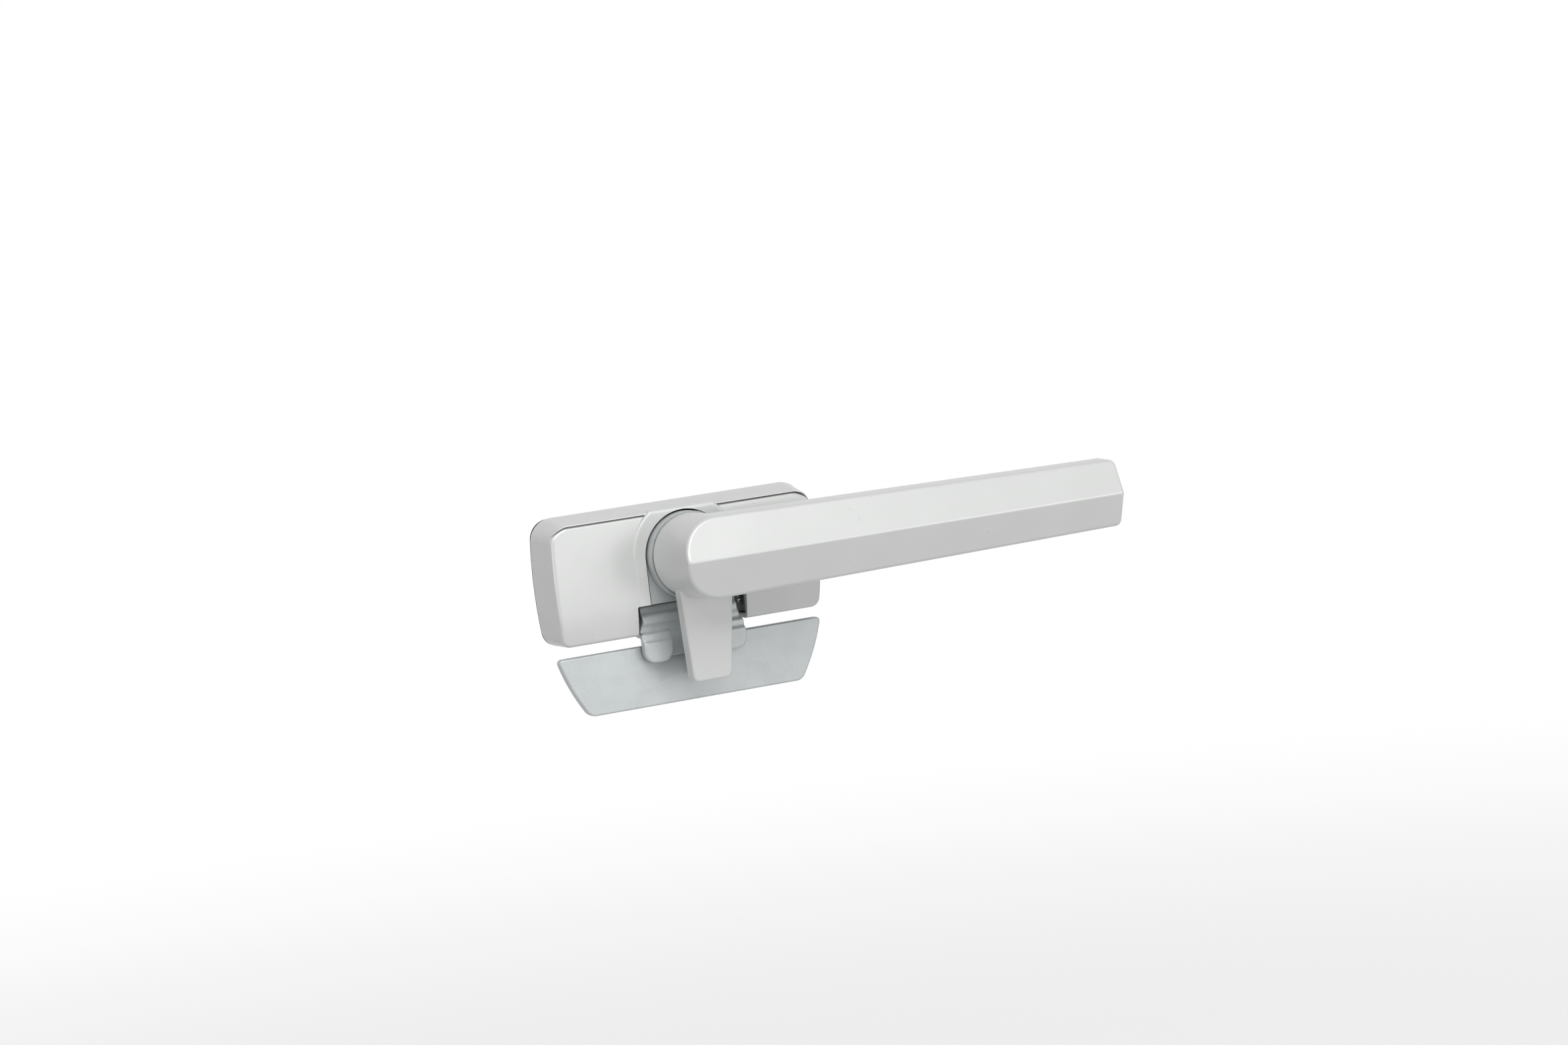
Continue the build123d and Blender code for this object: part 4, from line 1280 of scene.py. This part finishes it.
@dataclass
class ForkBolt(Part):
    """Die-cast fork: slotted plate, web, spring shoulders and two rounded feet.

    The steps of web and feet are heights and depths down the front.
    """

    name: str = "fork_bolt"
    rides: Body = Body.BOLT
    slot: Slot = Slot.BARE_ZINC
    node: str = "slide_bolt"
    sharp_turn: float = 60.0
    plate_half: float = 10.0
    plate_z: Span = (2.25, 5.15)
    plate_top: float = 1.0
    web_half: float = 14.8
    web_top: float = -13.0
    web_bottom: float = -22.0
    web_front: float = 9.0
    web_steps: tuple[Span, ...] = (
        (-13.0, 7.7), (-15.0, 7.95), (-16.3, 8.9), (-18.0, 9.0), (-19.0, 8.4), (-20.2, 8.3), (-21.0, 9.0),
    )
    foot_steps: tuple[Span, ...] = ((-20.3, 8.5), (-20.9, 9.9), (-22.9, 10.25), (-23.3, 11.0))
    foot_outer: float = 15.9
    foot_inner: float = 7.1
    foot_bottom: float = -29.1
    foot_z: Span = (8.2, 11.0)
    foot_corner: float = 3.2
    ledge: float = -20.5
    bridge_bottom: float = -28.0
    bridge_front: float = 9.4
    shoulder_inner: float = 12.0
    shoulder_step: float = 0.5
    flare_top: float = -17.2
    flare_back: float = 5.85
    slot_x: Span = (1.5, 6.95)
    slot_y: Span = (-5.5, -1.5)
    slot_z: Span = (0.0, 8.0)
    sink: float = 0.5
    grain: float = 0.3
    soften_passes: int = 2
    soften_share: float = 0.5

    def foot(self, side: int) -> BMesh:
        """Builds one foot with its sloping ledge and rounded end.

        Args:
            side: -1 for the left foot, 1 for the right one.

        Returns:
            A closed mesh.
        """
        back, front = self.foot_z
        low = self.foot_bottom
        outline = ((self.ledge, back), *self.foot_steps, (low, front), (low, back))
        corners = [(self.foot_inner * side, y, z) for y, z in outline]
        bm = prism(corners, ((self.foot_outer - self.foot_inner) * side, 0, 0))
        ends = edges_where(bm, lambda mid, e: mid.y < low + SMALL and depth_run(e) > MARGIN)
        round_off(bm, ends, self.foot_corner, WIDE_ARC)
        return bm

    def web(self) -> BMesh:
        """Builds the web with its hollow top, bulge and groove as a closed mesh."""
        back, low = self.plate_z[0], self.web_bottom
        outline = ((self.web_top, back), *self.web_steps, (low, self.web_front), (low, back))
        return prism([(-self.web_half, y, z) for y, z in outline], (2 * self.web_half, 0, 0))

    def shoulder(self, side: int) -> BMesh:
        """Builds the small shoulder on which one spring pushes.

        Args:
            side: -1 for the left one, 1 for the right one.

        Returns:
            A closed mesh.
        """
        inner, outer = self.shoulder_inner, self.foot_outer
        points = (
            (inner, self.flare_top), (self.web_half, self.flare_top), (outer, self.ledge),
            (outer, self.web_bottom), (inner, self.web_bottom),
        )
        corners = [(x * side, y, self.flare_back) for x, y in points]
        return prism(corners, (0, 0, self.web_front - self.shoulder_step - self.flare_back))

    def build(self) -> Piece:
        """Joins the fork's solids and softens them as a casting."""
        plate = block(
            (-self.plate_half, self.plate_half), (self.web_top - MARGIN, self.plate_top), self.plate_z
        )
        piece = loose_object(self.name, plate)
        combine(piece, self.web(), Join.ADD)
        half = self.foot_outer - self.foot_corner
        height = (self.bridge_bottom, self.web_bottom + self.sink)
        combine(piece, block((-half, half), height, (self.foot_z[0], self.bridge_front)), Join.ADD)
        for side in (-1, 1):
            combine(piece, self.shoulder(side), Join.ADD)
            combine(piece, self.foot(side), Join.ADD)
        combine(piece, block(self.slot_x, self.slot_y, self.slot_z), Join.CUT)
        remesh = piece.modifiers.new("cast", "REMESH")
        remesh.mode = "VOXEL"
        remesh.voxel_size = self.grain
        bake_modifiers(piece)
        bm = bmesh.new()
        bm.from_mesh(piece.data)
        axes = {"use_axis_x": True, "use_axis_y": True, "use_axis_z": True}
        for _ in range(self.soften_passes):
            bmesh.ops.smooth_vert(bm, verts=bm.verts, factor=self.soften_share, **axes)
        pour(bm, piece.data)
        return piece


@dataclass
class SpringPair(Part):
    """The two coil springs beside the fork."""

    name: str = "bolt_spring_pair"
    slot: Slot = Slot.SPRING_STEEL
    node: str = "bolt_springs"
    sharp_turn: float = 50.0
    coil_radius: float = 1.15
    wire_radius: float = 0.24
    wire_sides: int = 10
    turns: int = 9
    turn_steps: int = 24
    top: float = -3.85
    bottom: float = -17.15
    x: float = 16.32
    depth: float = 7.0
    travel: float = 7.0

    def wire(self) -> BMesh:
        """Winds the right spring along y by spinning the wire's section, as a closed mesh."""
        bm = bmesh.new()
        bmesh.ops.create_circle(bm, cap_ends=True, radius=self.wire_radius, segments=self.wire_sides)
        turn(bm, 90, "X")
        turn(bm, 90, "Z")
        shift(bm, 0, self.bottom + self.wire_radius, self.coil_radius)
        steps = self.turn_steps * self.turns
        rise = (self.top - self.bottom - 2 * self.wire_radius) / steps
        bmesh.ops.spin(
            bm, geom=whole(bm), cent=ORIGIN, axis=UP, dvec=(0, rise, 0),
            angle=radians(360 * self.turns), steps=steps,
        )
        bmesh.ops.remove_doubles(bm, verts=bm.verts, dist=SMALL)
        shift(bm, self.x, 0, self.depth)
        return bm

    def build(self) -> Piece:
        """Winds the right spring and copies it to the left."""
        bm = self.wire()
        copied = bmesh.ops.duplicate(bm, geom=whole(bm))["geom"]
        left = [item for item in copied if isinstance(item, BMVert)]
        bmesh.ops.translate(bm, verts=left, vec=(-2 * self.x, 0, 0))
        return loose_object(self.name, bm)

    def make(self, finishes: Mapping[str, Material]) -> Piece:
        """Builds and dresses the springs and gives them a mesh of their own.

        Args:
            finishes: Materials by slot name.

        Returns:
            The finished piece.
        """
        piece = super().make(finishes)
        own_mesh(piece)
        return piece


@dataclass(frozen=True)
class Lamp:
    """A soft rectangular studio lamp; a glow of 1 is as bright as a white page."""

    name: str
    place: Point
    aim: Point
    size: Span
    glow: float

    def hang(self) -> None:
        """Adds the lamp, pointed at its aim."""
        data = bpy.data.lights.new(self.name, "AREA")
        data.shape = "RECTANGLE"
        data.size, data.size_y = self.size
        data.energy = self.glow * pi * self.size[0] * self.size[1]
        lamp = bpy.data.objects.new(self.name, data)
        lamp.location = self.place
        lamp.rotation_euler = (Vector(self.aim) - Vector(self.place)).to_track_quat("-Z", "Y").to_euler()
        bpy.context.scene.collection.objects.link(lamp)


@dataclass(frozen=True)
class Studio:
    """Camera, lamps, pale floor and a plain bright surround, in metres and degrees."""

    yaw: float = 25.0
    pitch: float = 5.25
    roll: float = 6.7
    distance: float = 1.333
    aim: Point = (0.03659, 0.0, 0.00327)
    lens: float = 106.43
    sensor: float = 36.0
    near_clip: float = 0.01
    floor_height: float = -0.25
    floor_half: float = 12.0
    floor_roughness: float = 0.9
    paper_tones: Span = (0.80, 0.84)
    fibre_scale: float = 40.0
    fibre_detail: float = 3.0
    fade_span: Span = (0.5, 1.3)
    fade_result: Span = (0.75, 1.0)
    surround: float = 0.13
    lamps: tuple[Lamp, ...] = (
        Lamp("key", (0.05, -1.25, 1.45), (0.03, 0.0, 0.0), (1.3, 1.2), 4.5),
        Lamp("upper_left", (-0.66, -0.62, 0.80), (0.0, 0.0, 0.0), (0.25, 0.25), 7.0),
        Lamp("left_strip", (-1.05, -0.50, 0.0), (0.0, 0.0, 0.0), (0.08, 0.4), 13.0),
        Lamp("front_right", (0.80, -1.20, 0.15), (0.03, 0.0, 0.0), (0.7, 0.7), 2.0),
    )

    def camera(self) -> None:
        """Sets the camera at the viewing angle of the photograph."""
        yaw, pitch, roll = (radians(a) for a in (self.yaw, self.pitch, self.roll))
        forward = Vector((sin(yaw) * cos(pitch), cos(yaw) * cos(pitch), -sin(pitch)))
        right = Vector((cos(yaw), -sin(yaw), 0))
        up = right.cross(forward)
        side = right * cos(roll) - up * sin(roll)
        top = right * sin(roll) + up * cos(roll)
        facing = Matrix((side, top, -forward)).transposed().to_4x4()
        data = bpy.data.cameras.new("viewpoint")
        data.sensor_width = self.sensor
        data.sensor_fit = "HORIZONTAL"
        data.lens = self.lens
        data.clip_start = self.near_clip
        camera = bpy.data.objects.new("viewpoint", data)
        camera.matrix_world = Matrix.Translation(Vector(self.aim) - forward * self.distance) @ facing
        bpy.context.scene.collection.objects.link(camera)
        bpy.context.scene.camera = camera

    def paper(self) -> Material:
        """Makes the floor's material: paper that shows white, keeps shadows and is open below."""
        material = bpy.data.materials.new("floor_paper")
        material.use_nodes = True
        tree = material.node_tree
        shader = tree.nodes["Principled BSDF"]
        shader.inputs["Roughness"].default_value = self.floor_roughness
        where = tree.nodes.new("ShaderNodeTexCoord").outputs["Object"]
        fibre = noise(tree, where, self.fibre_scale, self.fibre_detail)
        dark, light = ((tone, tone, tone, 1) for tone in self.paper_tones)
        tree.links.new(blend_colour(tree, fibre, dark, light), shader.inputs["Base Color"])
        glow = add(tree, "ShaderNodeEmission", Strength=1.0)
        distance = add(tree, "ShaderNodeVectorMath", operation="LENGTH")
        tree.links.new(where, distance.inputs[0])
        fade = ramp(tree, distance.outputs["Value"], self.fade_span, self.fade_result)
        seen = calculate(tree, "MULTIPLY", page_rays(tree), fade)
        upper = mix_shaders(tree, seen, shader, glow)
        below = tree.nodes.new("ShaderNodeNewGeometry").outputs["Backfacing"]
        both = mix_shaders(tree, below, upper, tree.nodes.new("ShaderNodeBsdfTransparent"))
        tree.links.new(both.outputs[0], tree.nodes["Material Output"].inputs["Surface"])
        return material

    def floor(self) -> None:
        """Lays the pale floor."""
        bm = bmesh.new()
        bmesh.ops.create_grid(bm, x_segments=1, y_segments=1, size=self.floor_half)
        shift(bm, 0, 0, self.floor_height)
        mesh = bpy.data.meshes.new("floor")
        pour(bm, mesh)
        floor = bpy.data.objects.new("floor", mesh)
        bpy.context.scene.collection.objects.link(floor)
        mesh.materials.append(self.paper())

    def world(self) -> None:
        """Sets a white background and a softer surround for the light."""
        world = bpy.data.worlds.new("surround")
        bpy.context.scene.world = world
        world.use_nodes = True
        tree = world.node_tree
        light = tree.nodes["Background"]
        light.inputs["Color"].default_value = WHITE
        light.inputs["Strength"].default_value = self.surround
        page = add(tree, "ShaderNodeBackground", Color=WHITE, Strength=1.0)
        mixed = mix_shaders(tree, page_rays(tree), light, page)
        tree.links.new(mixed.outputs[0], tree.nodes["World Output"].inputs["Surface"])

    def set_up(self) -> None:
        """Sets up the whole studio."""
        bpy.context.scene.view_settings.view_transform = "Standard"
        self.camera()
        self.floor()
        self.world()
        for lamp in self.lamps:
            lamp.hang()


def dress_nodes(finishes: Mapping[str, Material]) -> None:
    """Gives every CAD node the finish of its material slot.

    Args:
        finishes: Materials by slot name.
    """
    for part in frame["record"]["subparts"]:
        node = frame["nodes"][part["node"]]
        node.data.materials.clear()
        node.data.materials.append(finishes[part["material_slot"]])
        log.info("%s keeps its form in %s", part["node"], part["material_slot"])


def main() -> None:
    """Builds the pieces in order and sets up the studio."""
    logging.basicConfig(level=logging.INFO, format="%(message)s")
    shelf = EffectShelf()
    finishes = {finish.slot.value: finish.build(shelf) for finish in FINISHES}
    dress_nodes(finishes)
    for part in (HandleCasting(), CoverShell(), KeeperPlate(), ForkBolt(), SpringPair()):
        part.make(finishes)
    Studio().set_up()


if __name__ == "__main__":
    main()
